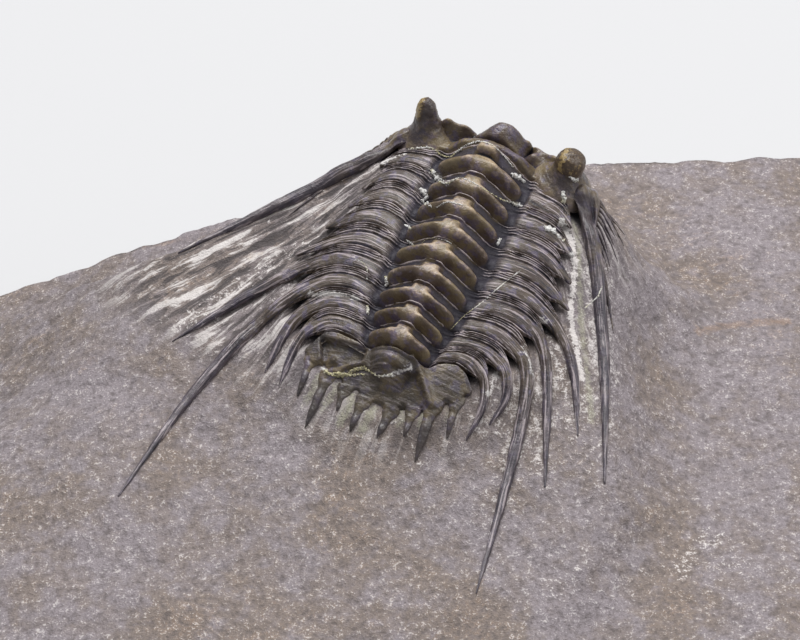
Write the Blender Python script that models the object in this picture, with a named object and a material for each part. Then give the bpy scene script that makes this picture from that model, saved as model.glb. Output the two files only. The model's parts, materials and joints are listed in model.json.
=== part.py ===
"""Fossil Leonaspis trilobite lying on its own block of limestone.

The animal is worked out in body millimetres: x to its right, y towards its
head and z up from its back, with the middle of the fifth body ring at zero.
Two empties turn millimetres into metres and tilt the animal on its mound.
"""

import math

import bmesh
import bpy
import numpy as np
from mathutils import Euler, Vector

# Frames
MM = 0.001
SEAT = (0.0, 7.0, 23.0)
TILT = (math.radians(22.3), math.radians(7.7), math.radians(-21.5))

# Dome that the shell follows: half lengths, height over the bed and steepness
DOME_HALF_WIDTH = 7.6
DOME_FRONT = 12.5
DOME_BACK = 10.6
DOME_MIDDLE_Y = 1.0
DOME_TOP = 0.15
DOME_DROP = 3.15
DOME_SHAPE = 2.6
DOME_STEEPNESS = 6.0
DOME_SHOULDER = 1.17

# Head bent down over the front of the mound
HEAD_HINGE = 9.5
HEAD_FALL = 1.9
HEAD_BEND = 0.45

# Body rings, from the head back: place, half width and height of each arch
RING_Y = (6.8, 4.95, 3.3, 1.65, 0.0, -1.6, -3.15, -4.5, -5.8)
RING_HALF_WIDTH = (2.75, 2.62, 2.6, 2.65, 2.6, 2.55, 2.45, 2.2, 1.95)
RING_HEIGHT = (1.75, 1.75, 1.75, 1.72, 1.68, 1.62, 1.5, 1.32, 1.15)
RING_BOW = 0.25
RING_FLATTENING = 0.45
ARCH_SHAPE = 2.5
ARCH_SHARES = (-1.0, -0.86, -0.62, -0.32, 0.0, 0.32, 0.62, 0.86, 1.0)
RIB_SHARES = (0.0, 0.2, 0.4, 0.6, 0.8, 1.0)
RIB_CLOSING = 0.6
RIB_FOOT = (0.25, 0.08)
FURROW_DEPTH = 0.3
SHELL_THICKNESS = 0.5
JOINT_GAP = 0.06

# Ribs beyond the rings, in plan: flank, shoulder, edge, then the free spine
RIGHT_RIBS = (
    ((4.0, 6.8), (5.1, 6.7), (6.1, 6.1)),
    ((4.5, 5.2), (5.9, 5.0), (6.9, 4.4)),
    ((4.7, 3.5), (6.1, 3.3), (7.4, 2.7)),
    ((4.9, 2.0), (6.3, 1.8), (7.9, 1.1)),
    ((5.0, 0.4), (6.8, 0.1), (8.3, -0.8), (9.8, -2.6), (11.4, -6.1)),
    ((4.6, -1.1), (6.2, -1.1), (7.5, -2.0), (8.7, -4.2), (10.9, -10.1)),
    ((4.3, -2.7), (5.9, -2.9), (7.2, -3.8), (8.0, -6.2), (8.9, -11.7), (9.9, -18.3)),
    ((3.8, -4.1), (5.1, -4.1), (6.3, -4.8), (6.8, -6.2), (6.5, -7.9)),
    ((3.2, -5.1), (4.4, -5.1), (5.4, -5.9), (5.8, -7.4), (5.6, -9.3)),
)
LEFT_RIBS = (
    ((4.3, 7.0), (5.5, 6.8), (6.2, 6.0)),
    ((4.6, 5.6), (5.8, 5.2), (6.6, 4.1)),
    ((4.5, 4.0), (5.9, 3.6), (6.9, 2.6)),
    ((4.7, 2.3), (6.2, 2.0), (7.7, 1.0)),
    ((4.7, 0.5), (6.6, 0.2), (8.8, -1.1)),
    ((4.6, -1.2), (6.8, -1.3), (8.8, -2.7), (11.0, -5.1), (13.7, -8.9)),
    ((4.6, -2.6), (6.5, -3.0), (8.2, -4.7), (9.8, -7.8), (11.2, -13.0), (12.1, -20.0)),
    ((4.3, -4.1), (5.9, -4.5), (7.1, -6.2), (7.4, -9.3)),
    ((3.8, -5.4), (5.2, -5.6), (6.1, -7.0), (6.2, -9.9)),
)
SPINE_RADIUS = (0.3, 0.3, 0.3, 0.3, 0.34, 0.36, 0.42, 0.36, 0.3)
TIP_RADIUS = 0.05
STUB_RADIUS = 0.15
SPINE_TAPER = 1.7
SPINE_DEPTH = 0.05
RIB_SPINE_STATION = 2.5
CHEEK_SPINE_STATION = 2.2

# Seams in front of the first ring and behind the last, on both sides
FRONT_SEAM = ((1.2, 8.35), (2.8, 7.85), (4.2, 7.75), (5.3, 7.6), (6.4, 7.1))
RIGHT_BACK_SEAM = ((1.0, -6.5), (1.95, -6.45), (2.9, -5.75), (4.0, -5.75), (4.9, -6.6))
LEFT_BACK_SEAM = ((1.0, -6.5), (1.95, -6.45), (3.4, -6.15), (4.6, -6.2), (5.5, -7.4))

# Section of a ring, of a rib and of a spine, from front edge to back edge
RING_SECTION = (
    (-1.0, -0.75), (-1.0, -0.35), (-0.72, -0.18), (-0.45, -0.38),
    (-0.15, 0.08), (0.35, 0.24), (0.95, -0.1), (1.0, -0.75),
)
RIB_SECTION = (
    (-1.0, -0.5), (-1.0, -0.15), (-0.75, 0.02), (-0.4, -0.16),
    (0.0, 0.08), (0.5, 0.18), (1.0, -0.12), (1.0, -0.5),
)
SPINE_SECTION = (
    (-0.55, -0.85), (-0.98, -0.2), (-0.85, 0.52), (-0.35, 0.94),
    (0.35, 0.94), (0.85, 0.52), (0.98, -0.2), (0.55, -0.85),
)

# Head shield: back, front, half widths and heights
HEAD_BACK = 7.95
HEAD_FRONT = 11.9
HEAD_HALF_WIDTHS = (
    (7.9, 4.1), (8.3, 3.95), (9.2, 3.6), (10.1, 3.25), (10.8, 2.75), (11.4, 1.95), (11.9, 0.7),
)
HEAD_STEPS = (0.0, 0.07, 0.16, 0.22, 0.32, 0.44, 0.56, 0.68, 0.8, 0.91, 1.0)
HEAD_COLUMNS = 14
HEAD_BACK_BOW = 0.45
GLABELLA_HALF_WIDTH = 2.3
GLABELLA_NARROWING = 0.2
GLABELLA_FRONT_HEIGHT = 3.0
GLABELLA_BACK_HEIGHT = 1.35
GLABELLA_RISE = 1.4
GLABELLA_BROW_Y = 11.2
GLABELLA_BROW_DROP = 4.9
NECK_FURROW_Y = 9.05
NECK_FURROW_DEPTH = 0.5
NECK_RING_BACK_SLOPE_Y = 8.75
NECK_RING_HEIGHT = 1.75
NECK_RING_HALF_WIDTH = 2.75

# Knobs in pairs beside the glabella: centre, half width, half length and height
HEAD_KNOBS = (
    ((2.35, 9.7), 0.8, 0.5, 0.5),
    ((2.1, 10.6), 0.75, 0.5, 0.5),
    ((3.5, 9.4), 0.8, 0.8, 0.4),
)
KNOB_STEEPNESS = 1.6
EYE_FOOT = (4.45, 9.1)
EYE_FOOT_LIFT = 0.35
LEFT_EYE_TOP = (-4.85, 9.9, 1.95)
RIGHT_EYE_TOP = (4.95, 9.75, 1.6)
EYE_BALL_RADIUS = 0.62
LEFT_EYE_PROFILE = (
    (0.06, 1.75), (0.22, 1.45), (0.4, 1.2), (0.58, 1.0),
    (0.74, 0.82), (0.88, 0.64), (0.97, 0.38), (1.0, 0.15),
)
RIGHT_EYE_PROFILE = (
    (0.08, 1.7), (0.28, 1.15), (0.5, 0.92), (0.66, 0.95),
    (0.78, 1.0), (0.9, 0.82), (0.97, 0.5), (1.0, 0.2),
)
CHEEK_SUTURE = (
    (0.8, 11.75), (2.1, 11.4), (2.9, 10.8), (3.4, 10.1),
    (3.75, 9.2), (4.3, 8.1), (5.6, 7.9), (6.6, 7.0),
)
CHEEK_MARGIN = (
    (0.9, 12.5), (2.7, 12.4), (4.4, 11.9), (5.7, 11.0),
    (6.5, 9.9), (7.0, 8.8), (7.3, 7.7), (7.7, 6.3),
)
CHEEK_SWELL = 0.35
CHEEK_SWELL_START = 0.12
CHEEK_ACROSS = (0.0, 0.28, 0.56, 0.84, 1.0)
CHEEK_STEPS = 14
RIGHT_CHEEK_SPINE = ((8.3, 4.8), (9.6, 2.2), (10.8, -0.3), (12.1, -3.4), (13.1, -6.0), (14.0, -8.4))
LEFT_CHEEK_SPINE = ((8.6, 5.3), (10.0, 3.9), (11.6, 2.2), (13.1, 0.5), (14.7, -1.2), (16.2, -2.7))
CHEEK_SPINE_RADIUS = 0.5
FRINGE_REACH = 2.2
FRINGE_RADIUS = 0.17
FRINGE_START = 0.4
FRINGE_COUNT = 9
FRINGE_DEPTH = 0.25
FRINGE_DOWN = -0.55
FRINGE_SIDEWAYS = 0.62
FRINGE_FORWARD = (0.42, -0.73)

# Tail shield: hind margin, axis and the spines of the margin
TAIL_MARGIN = (
    (-5.45, -7.75), (-4.6, -8.3), (-3.8, -8.75), (-2.4, -9.05), (-1.0, -9.35),
    (0.5, -9.3), (2.0, -8.85), (3.1, -8.15), (4.1, -7.7), (4.75, -7.1),
)
TAIL_AXIS_HALF_WIDTH = 1.6
TAIL_AXIS_HEIGHT = 1.15
TAIL_AXIS_NARROWING = 0.22
TAIL_AXIS_END = -9.0
TAIL_AXIS_SLOPE = 1.2
TAIL_RING_HEIGHT = 0.14
TAIL_RING_SPACING = 1.05
TAIL_FRONT_Y = -6.5
TAIL_RIDGE_START = (1.3, -7.0)
TAIL_RIDGE_NORMAL = (0.62, 0.78)
TAIL_RIDGE_HALF_WIDTH = 0.35
TAIL_RIDGE_HEIGHT = 0.3
TAIL_COLUMNS = 26
TAIL_ROWS = (0.0, 0.22, 0.46, 0.72, 1.0)
TAIL_SPINE_DEPTHS = (0.22, 0.15, 0.1)
TAIL_SPINES = (
    ((-4.9, -8.0), (-4.85, -10.2), 0.2), ((-3.8, -8.7), (-3.8, -11.8), 0.26),
    ((-2.5, -9.0), (-2.4, -10.0), 0.16), ((-1.1, -9.3), (-1.1, -11.2), 0.22),
    ((0.6, -9.2), (0.6, -10.9), 0.2), ((2.0, -8.8), (2.2, -10.1), 0.16),
    ((3.1, -8.1), (3.4, -11.6), 0.32), ((4.2, -7.6), (4.5, -9.7), 0.22),
)

# Limestone block: outline, saw cut and the slope of its upper face
BLOCK_HALF_LENGTH = 38.0
BLOCK_HALF_WIDTH = 30.0
BED_HEIGHT = 14.0
BED_SLOPE_BEHIND = 0.1
BED_SLOPE_BEFORE = 0.15
LEFT_FALL = 0.34
LEFT_FALL_START = (-9.0, 2.0)
LEFT_FALL_BLEND = 8.0
BED_DEPTH_UNDER_SHELL = 0.85
BED_DEPTH_UNDER_SPINES = 0.6
SPINE_ZONE_START = 9.5
SPINE_ZONE_BLEND = 3.0
FIRST_RISE = -3.0
MOUND_FALL = 1.3
MOUND_STEEP_FALL = 2.2
MOUND_BLEND = 2.4
MOUND_RIGHT = (
    (-30.0, 14.0), (-20.0, 15.5), (-9.0, 14.8), (-4.0, 12.8), (2.0, 9.9),
    (6.0, 8.3), (8.0, 7.6), (10.0, 6.6), (12.0, 4.5),
)
MOUND_RIDGE = (
    (-40.0, -14.0), (-26.3, -7.7), (-19.4, -4.2), (-16.4, -2.6), (-13.1, 0.8),
    (-9.3, 5.1), (-7.2, 7.8), (-6.0, 10.0), (-4.0, 13.0),
)
MOUND_LEFT = -16.4
MOUND_LEFT_FALL = 0.7
BLOCK_COLUMNS = 36
BLOCK_ROWS = 30
WALL_SPREAD = 0.6
WALL_ROUGHNESS = 0.35
LEDGE_SHARE = 0.55
CORNER_CUT = 0.07
SIDE_WAVE = 0.015
FRONT_WAVE = 0.02
BACK_LEFT_CUT = 0.17
BACK_LEFT_START = 6.0
BACK_LEFT_BLEND = 14.0
BED_WAVE = 0.35
BED_WAVE_X = (0.21, 0.8)
BED_WAVE_Y = (0.17, -0.4)
SETTLING_ROUNDS = 14
MIDDLE_CROWDING = 0.42

SHELL_COLOURS = {
    "cranidium": (0.085, 0.062, 0.046),
    "cheek": (0.075, 0.058, 0.05),
    "segment": (0.068, 0.052, 0.046),
    "pygidium": (0.06, 0.055, 0.038),
}
ROCK_COLOUR = (0.33, 0.28, 0.26)
SHELL_ROUGHNESS = 0.42
ROCK_ROUGHNESS = 0.85
SMOOTH_ANGLE = math.radians(50)


def clear_scene():
    for old in list(bpy.data.objects):
        bpy.data.objects.remove(old, do_unlink=True)


def make_collection(name):
    collection = bpy.data.collections.new(name)
    bpy.context.scene.collection.children.link(collection)
    return collection


def make_material(name, colour, roughness):
    material = bpy.data.materials.new(name)
    material.use_nodes = True
    shader = material.node_tree.nodes["Principled BSDF"]
    shader.inputs["Base Color"].default_value = (*colour, 1.0)
    shader.inputs["Roughness"].default_value = roughness
    shader.inputs["Metallic"].default_value = 0.0
    return material


def dome(x, y):
    """Height of the low dome that the whole animal follows."""
    half = np.where(np.asarray(y) > DOME_MIDDLE_Y, DOME_FRONT, DOME_BACK)
    across = np.abs(np.asarray(x) / DOME_HALF_WIDTH) ** DOME_SHAPE
    along = np.abs((np.asarray(y) - DOME_MIDDLE_Y) / half) ** DOME_SHAPE
    reach = (across + along) ** (DOME_STEEPNESS / DOME_SHAPE)
    bent = HEAD_BEND * np.logaddexp(0.0, (np.asarray(y) - HEAD_HINGE) / HEAD_BEND)
    return DOME_TOP - DOME_DROP * reach / (reach + DOME_SHOULDER) - HEAD_FALL * bent


def on_dome(plan, lift=0.0):
    """A plan point, raised onto the dome."""
    return np.array((plan[0], plan[1], float(dome(plan[0], plan[1])) + lift))


def smooth_curve(points, share):
    """Point of a smooth curve through the given points, share from 0 to 1."""
    points = np.asarray(points, dtype=float)
    last = len(points) - 1
    place = min(max(share, 0.0), 1.0) * last
    index = min(int(place), last - 1)
    u = place - index
    before = points[index - 1] if index > 0 else 2 * points[0] - points[1]
    after = points[index + 2] if index + 2 <= last else 2 * points[last] - points[last - 1]
    start, end = points[index], points[index + 1]
    return 0.5 * (
        2 * start
        + (end - before) * u
        + (2 * before - 5 * start + 4 * end - after) * u ** 2
        + (3 * start - before - 3 * end + after) * u ** 3
    )


def finish_object(name, mesh_data, material, parent, collection):
    """Name a finished mesh, shade it smooth and hang it in its frame."""
    mesh = bpy.data.meshes.new(name)
    bmesh.ops.recalc_face_normals(mesh_data, faces=mesh_data.faces)
    mesh_data.to_mesh(mesh)
    mesh_data.free()
    mesh.shade_smooth()
    mesh.set_sharp_from_angle(angle=SMOOTH_ANGLE)
    mesh.materials.append(material)
    piece = bpy.data.objects.new(name, mesh)
    collection.objects.link(piece)
    piece.parent = parent
    return piece


def loft(sections, strip_ends=False):
    """Closed body through sections that have the same number of points."""
    body = bmesh.new()
    rings = [[body.verts.new(point) for point in section] for section in sections]
    count = len(rings[0])
    for ring, following in zip(rings, rings[1:]):
        for k in range(count):
            n = (k + 1) % count
            body.faces.new((ring[k], ring[n], following[n], following[k]))
    for ring in (rings[0], rings[-1]):
        if not strip_ends:
            body.faces.new(ring)
            continue
        for k in range(count // 2 - 1):
            body.faces.new((ring[k], ring[k + 1], ring[count - 2 - k], ring[count - 1 - k]))
    bmesh.ops.recalc_face_normals(body, faces=body.faces)
    return body


def grow(body, face, stages):
    """Extrude one face through stages of (centre, size) into a spine or a stalk."""
    for centre, size in stages:
        face = bmesh.ops.extrude_discrete_faces(body, faces=[face])["faces"][0]
        middle = face.calc_center_median()
        reach = sum((v.co - middle).length for v in face.verts) / len(face.verts)
        for vertex in face.verts:
            vertex.co = Vector(centre) + (vertex.co - middle) * (size / reach)
    return face


def mix(a, b, share):
    return np.asarray(a) * (1.0 - share) + np.asarray(b) * share


def place_section(section, front, middle, back, up):
    """Lay a section between a front and a back point, along the up direction."""
    points = []
    for across, height in section:
        side = front if across < 0 else back
        points.append(mix(middle, side, abs(across)) + up * height)
    return points


def arch(x, half_width):
    """Rise of an arch of unit height that stands on its half width."""
    return max(0.0, 1.0 - abs(x / half_width) ** ARCH_SHAPE)


def arch_station(index, share):
    """Middle of the ring arch, share from -1 at the left foot to 1 at the right."""
    half = RING_HALF_WIDTH[index]
    height = RING_HEIGHT[index] * arch(share, 1.0)
    y = RING_Y[index] + RING_BOW * (1.0 - share ** 2)
    x = half * share
    return np.array((x, y, float(dome(x, y)) + height))


def arch_seam(index, share):
    """Seam in front of a ring, on the arch."""
    if index == 0:
        y = FRONT_SEAM[0][1] - (FRONT_SEAM[0][1] - FRONT_SEAM[1][1]) * share ** 2
        middle = arch_station(0, share)
        return np.array((middle[0], y, middle[2]))
    if index == len(RING_Y):
        middle = arch_station(index - 1, share)
        return np.array((middle[0], RIGHT_BACK_SEAM[0][1], middle[2]))
    return mix(arch_station(index - 1, share), arch_station(index, share), 0.5)


def rib_points(index, side):
    """Plan points of a rib from the furrow to its edge, on one side."""
    ribs = RIGHT_RIBS if side > 0 else LEFT_RIBS
    foot = (RING_HALF_WIDTH[index] + RIB_FOOT[0], RING_Y[index] + RIB_FOOT[1])
    return (foot,) + ribs[index][:3]


def rib_station(index, side, share):
    plan = smooth_curve(rib_points(index, side), share)
    return np.array((side * plan[0], plan[1]))


def rib_seam(index, side, share):
    """Plan point of the seam in front of a rib."""
    if index == 0:
        plan = smooth_curve(FRONT_SEAM[1:], share)
        return np.array((side * plan[0], plan[1]))
    if index == len(RING_Y):
        seam = RIGHT_BACK_SEAM if side > 0 else LEFT_BACK_SEAM
        plan = smooth_curve(seam[1:], share)
        return np.array((side * plan[0], plan[1]))
    return mix(rib_station(index - 1, side, share), rib_station(index, side, share), 0.5)


def drawn_in(middle, edge, gap):
    """Edge point moved towards the middle by half of the joint's gap."""
    reach = np.linalg.norm(edge - middle)
    return middle + (edge - middle) * (1.0 - gap / reach)


def arch_sections(index):
    """Sections of the ring arch from left to right."""
    sections = []
    for share in ARCH_SHARES:
        middle = arch_station(index, share)
        step = arch_station(index, share + 0.01) - arch_station(index, share - 0.01)
        step = step / np.linalg.norm(step)
        up = np.array((-step[2], 0.0, step[0]))
        front = drawn_in(middle, arch_seam(index, share), JOINT_GAP)
        back = drawn_in(middle, arch_seam(index + 1, share), JOINT_GAP)
        fade = 1.0 - RING_FLATTENING * abs(share) ** 3
        section = [(across, height * fade) for across, height in RING_SECTION]
        sections.append(place_section(section, front, middle, back, up))
    return sections


def rib_sections(index, side):
    """Sections of a rib and of its free spine, from the furrow outwards."""
    ribs = RIGHT_RIBS if side > 0 else LEFT_RIBS
    free = ribs[index][2:]
    pointed = len(free) == 1
    radius = SPINE_RADIUS[index]
    sections = []
    for share in RIB_SHARES:
        plan = rib_station(index, side, share)
        front = rib_seam(index, side, share)
        back = rib_seam(index + 1, side, share)
        closing = max(0.0, (share - RIB_CLOSING) / (1.0 - RIB_CLOSING)) ** 1.5
        middle = on_dome(plan, -FURROW_DEPTH * (share == 0.0))
        front = drawn_in(middle, on_dome(front, middle[2] - on_dome(plan)[2]), JOINT_GAP)
        back = drawn_in(middle, on_dome(back, middle[2] - on_dome(plan)[2]), JOINT_GAP)
        edge_radius = STUB_RADIUS if pointed else radius
        front = mix(front, middle + unit(front - middle) * edge_radius, closing)
        back = mix(back, middle + unit(back - middle) * edge_radius, closing)
        rounded = [(a, h * edge_radius) for a, h in SPINE_SECTION]
        section = mix(RIB_SECTION, rounded, closing)
        sections.append(place_section(section, front, middle, back, np.array((0.0, 0.0, 1.0))))
    if pointed:
        return sections
    sections.extend(free_spine([(side * x, y) for x, y in free], radius, RIB_SPINE_STATION))
    return sections


def unit(vector):
    return vector / max(np.linalg.norm(vector), 1e-9)


def free_spine(plan, radius, spacing):
    """Round tapering sections along plan points, without the first one."""
    length = sum(math.dist(a, b) for a, b in zip(plan, plan[1:]))
    count = max(2, round(length / spacing))
    side = 1.0 if plan[0][0] > 0 else -1.0
    sections = []
    for k in range(1, count + 1):
        share = k / count
        here = smooth_curve(plan, share)
        behind = smooth_curve(plan, share - 0.02)
        heading = unit(on_dome(here) - on_dome(behind)) * side
        back_way = unit(np.cross(heading, (0.0, 0.0, 1.0)))
        up = np.cross(back_way, heading)
        size = TIP_RADIUS + (radius - TIP_RADIUS) * (1.0 - share ** SPINE_TAPER)
        middle = on_dome(here, -SPINE_DEPTH)
        section = [(a, h * size) for a, h in SPINE_SECTION]
        reach = back_way * size
        sections.append(place_section(section, middle - reach, middle, middle + reach, up))
    return sections


def make_segment(index, material, parent, collection):
    left = rib_sections(index, -1.0)[::-1]
    right = rib_sections(index, 1.0)
    body = loft(left + arch_sections(index) + right)
    return finish_object(f"thoracic_segment_{index + 1}", body, material, parent, collection)


def knob(x, y, centre, width, length, height):
    """Smooth low knob on the head."""
    reach = ((x - centre[0]) / width) ** 2 + ((y - centre[1]) / length) ** 2
    return height * math.exp(-KNOB_STEEPNESS * reach)


def head_height(x, y):
    """Surface of the cranidium over the body plane."""
    height = float(dome(x, y))
    if y < NECK_FURROW_Y:
        height += NECK_RING_HEIGHT * arch(x, NECK_RING_HALF_WIDTH)
        behind = (y - NECK_RING_BACK_SLOPE_Y) / (NECK_FURROW_Y - NECK_RING_BACK_SLOPE_Y)
        height -= NECK_FURROW_DEPTH * max(0.0, behind)
    else:
        rise = arch(x, GLABELLA_HALF_WIDTH - GLABELLA_NARROWING * (y - NECK_FURROW_Y))
        climb = GLABELLA_BACK_HEIGHT + GLABELLA_RISE * (y - NECK_FURROW_Y)
        height += rise * min(GLABELLA_FRONT_HEIGHT, climb)
        height -= rise * GLABELLA_BROW_DROP * max(0.0, y - GLABELLA_BROW_Y) ** 2
    for centre, width, length, top in HEAD_KNOBS:
        height += knob(x, y, centre, width, length, top)
        height += knob(-x, y, centre, width, length, top)
    return height


def head_half_width(y):
    return float(np.interp(y, *zip(*HEAD_HALF_WIDTHS)))


def make_cranidium(material, parent, collection):
    """Middle of the head: glabella, neck ring and the fixed cheeks."""
    sections = []
    for step in HEAD_STEPS:
        y = HEAD_BACK + (HEAD_FRONT - HEAD_BACK) * step
        half = head_half_width(y)
        top = []
        for k in range(HEAD_COLUMNS + 1):
            share = 2.0 * k / HEAD_COLUMNS - 1.0
            back_bow = HEAD_BACK_BOW * (1.0 - abs(share) ** 1.5) * max(0.0, 1.0 - 5.0 * step)
            top.append((half * share, y + back_bow, head_height(half * share, y + back_bow)))
        under = [(x, y, z - SHELL_THICKNESS) for x, y, z in reversed(top)]
        sections.append(top + under)
    body = loft(sections, strip_ends=True)
    return finish_object("cranidium", body, material, parent, collection)


def cheek_sections(side, spine):
    """Sections of a free cheek from the front of the head to the spine's tip."""
    sections = []
    for k in range(CHEEK_STEPS + 1):
        share = k / CHEEK_STEPS
        inner = smooth_curve(CHEEK_SUTURE, share)
        outer = smooth_curve(CHEEK_MARGIN, share)
        row = []
        for across in CHEEK_ACROSS:
            plan = mix(inner, outer, across)
            swell = math.sin(math.pi * min(1.0, across * 1.05))
            swell *= CHEEK_SWELL * math.sin(math.pi * min(1.0, share + CHEEK_SWELL_START))
            row.append(on_dome((side * plan[0], plan[1]), swell))
        thin = np.array((0.0, 0.0, SHELL_THICKNESS))
        row.extend((row[4] - thin, row[2] - 1.15 * thin, row[0] - thin))
        sections.append(row)
    start = mix(CHEEK_SUTURE[-1], CHEEK_MARGIN[-1], 0.5)
    plan = [tuple(start)] + list(spine)
    rounds = free_spine([(side * x, y) for x, y in plan], CHEEK_SPINE_RADIUS, CHEEK_SPINE_STATION)
    for section in rounds:
        sections.append([section[i] for i in (6, 5, 4, 3, 2, 1, 0, 7)])
    return sections


def nearest_face(body, point):
    """Face whose middle is nearest to a point."""
    target = Vector(point)
    return min(body.faces, key=lambda face: (face.calc_center_median() - target).length)


def grow_eye(body, side):
    """Stalk that flares at its foot and carries a round eye."""
    foot = Vector(on_dome((side * EYE_FOOT[0], EYE_FOOT[1]), EYE_FOOT_LIFT))
    top = Vector(RIGHT_EYE_TOP if side > 0 else LEFT_EYE_TOP)
    knot = min((v for v in body.verts if len(v.link_faces) == 4), key=lambda v: (v.co - foot).length)
    rim = {face for face in body.faces} - set(knot.link_faces)
    bmesh.ops.dissolve_verts(body, verts=[knot])
    face = next(face for face in body.faces if face not in rim)
    axis = (top - foot).normalized()
    for share, size in RIGHT_EYE_PROFILE if side > 0 else LEFT_EYE_PROFILE:
        face = bmesh.ops.extrude_discrete_faces(body, faces=[face])["faces"][0]
        middle = face.calc_center_median()
        centre = foot.lerp(top, share)
        for vertex in face.verts:
            outward = vertex.co - middle
            outward = (outward - axis * outward.dot(axis)).normalized()
            vertex.co = centre + outward * size * EYE_BALL_RADIUS


def grow_fringe(body, side):
    """Row of fine spines under the rim of the cheek."""
    for k in range(FRINGE_COUNT):
        share = FRINGE_START + (1.0 - FRINGE_START) * k / (FRINGE_COUNT - 1)
        margin = smooth_curve(CHEEK_MARGIN, share)
        start = on_dome((side * margin[0], margin[1]), -FRINGE_DEPTH)
        face = nearest_face(body, start)
        middle = face.calc_center_median()
        forward = mix(FRINGE_FORWARD[0], FRINGE_FORWARD[1], share)
        outward = Vector((side * FRINGE_SIDEWAYS, forward, FRINGE_DOWN)).normalized()
        near = middle + outward * FRINGE_REACH * 0.4
        grow(body, face, [(near, FRINGE_RADIUS), (middle + outward * FRINGE_REACH, TIP_RADIUS)])


def make_cheek(name, side, spine, material, parent, collection):
    body = loft(cheek_sections(side, spine))
    grow_eye(body, side)
    grow_fringe(body, side)
    return finish_object(name, body, material, parent, collection)


def tail_height(x, y):
    """Surface of the tail shield over the body plane."""
    height = float(dome(x, y))
    narrow = TAIL_AXIS_HALF_WIDTH * (1.0 - TAIL_AXIS_NARROWING * max(0.0, TAIL_FRONT_Y - y))
    along = max(0.0, min(1.0, (y - TAIL_AXIS_END) / TAIL_AXIS_SLOPE))
    rings = math.cos(2.0 * math.pi * (y - TAIL_FRONT_Y) / TAIL_RING_SPACING)
    height += (TAIL_AXIS_HEIGHT + TAIL_RING_HEIGHT * rings) * arch(x, narrow) * along
    if x > TAIL_RIDGE_START[0]:
        away = (x - TAIL_RIDGE_START[0]) * TAIL_RIDGE_NORMAL[0]
        away += (y - TAIL_RIDGE_START[1]) * TAIL_RIDGE_NORMAL[1]
        height += TAIL_RIDGE_HEIGHT * math.exp(-(away / TAIL_RIDGE_HALF_WIDTH) ** 2)
    return height


def tail_front(share):
    """Front edge of the tail shield, share from -1 at the left to 1 at the right."""
    side = 1.0 if share >= 0 else -1.0
    seam = RIGHT_BACK_SEAM if side > 0 else LEFT_BACK_SEAM
    points = ((0.0, seam[0][1]),) + seam
    plan = smooth_curve(points, abs(share))
    return np.array((side * plan[0], plan[1] - 2.0 * JOINT_GAP))


def make_pygidium(material, parent, collection):
    """Tail shield with its axis, its oblique ridge and the spines of its margin."""
    sections = []
    for k in range(TAIL_COLUMNS + 1):
        share = 2.0 * k / TAIL_COLUMNS - 1.0
        front = tail_front(share)
        margin = smooth_curve(TAIL_MARGIN, 0.5 * (share + 1.0))
        row = []
        for down in TAIL_ROWS:
            plan = mix(front, margin, down)
            row.append(np.array((plan[0], plan[1], tail_height(plan[0], plan[1]))))
        thin = np.array((0.0, 0.0, SHELL_THICKNESS))
        row.extend((row[4] - thin, row[2] - thin, row[0] - thin))
        sections.append(row)
    body = loft(sections)
    for start, end, radius in TAIL_SPINES:
        depths = TAIL_SPINE_DEPTHS
        face = nearest_face(body, on_dome(start, -depths[0]))
        near = Vector(on_dome(mix(start, end, 0.25), -depths[1]))
        tip = Vector(on_dome(end, -depths[2]))
        grow(body, face, [(near, radius), (near.lerp(tip, 0.5), radius * 0.7), (tip, TIP_RADIUS)])
    return finish_object("pygidium", body, material, parent, collection)


def smooth_max(a, b, blend):
    """Larger of two heights with a rounded meeting."""
    share = np.clip(0.5 + 0.5 * (a - b) / blend, 0.0, 1.0)
    return a * share + b * (1.0 - share) + blend * share * (1.0 - share)


def bed_height(x, y):
    """Upper face of the slab away from the animal."""
    north = y - SEAT[1]
    height = BED_HEIGHT + np.where(north > 0.0, BED_SLOPE_BEHIND, BED_SLOPE_BEFORE) * north
    beyond = np.maximum(0.0, LEFT_FALL_START[0] - x)
    height -= LEFT_FALL * beyond * np.clip((y - LEFT_FALL_START[1]) / LEFT_FALL_BLEND, 0.0, 1.0)
    wave = np.sin(x * BED_WAVE_X[0] + BED_WAVE_X[1]) * np.cos(y * BED_WAVE_Y[0] + BED_WAVE_Y[1])
    return height + BED_WAVE * wave


def body_frame():
    """Rotation of the animal as a matrix of numbers."""
    turn = Euler(TILT, "XYZ").to_matrix()
    return np.array([[turn[row][column] for column in range(3)] for row in range(3)])


def rock_height(x, y):
    """Upper face of the block: the slab, with the mound that carries the animal."""
    turn = body_frame()
    right, forward, up = turn[:, 0], turn[:, 1], turn[:, 2]
    east = x - SEAT[0]
    north = y - SEAT[1]
    rise = np.full_like(x, FIRST_RISE)
    for _ in range(SETTLING_ROUNDS):
        body_x = right[0] * east + right[1] * north + right[2] * rise
        body_y = forward[0] * east + forward[1] * north + forward[2] * rise
        limit_right = np.interp(body_y, *zip(*MOUND_RIGHT))
        ridge = np.interp(body_x, *zip(*MOUND_RIDGE))
        fall = MOUND_FALL * np.maximum(0.0, body_x - limit_right)
        fall = fall + MOUND_STEEP_FALL * np.maximum(0.0, body_y - ridge) * (body_x < -4.0)
        fall = fall + MOUND_LEFT_FALL * np.maximum(0.0, MOUND_LEFT - body_x)
        spread = np.clip((np.hypot(body_x, body_y) - SPINE_ZONE_START) / SPINE_ZONE_BLEND, 0.0, 1.0)
        depth = BED_DEPTH_UNDER_SHELL + (BED_DEPTH_UNDER_SPINES - BED_DEPTH_UNDER_SHELL) * spread
        level = dome(body_x, body_y) - depth - fall
        target = (level - up[0] * east - up[1] * north) / up[2]
        rise = 0.5 * rise + 0.5 * target
    return smooth_max(rise + SEAT[2], bed_height(x, y), MOUND_BLEND)


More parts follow.
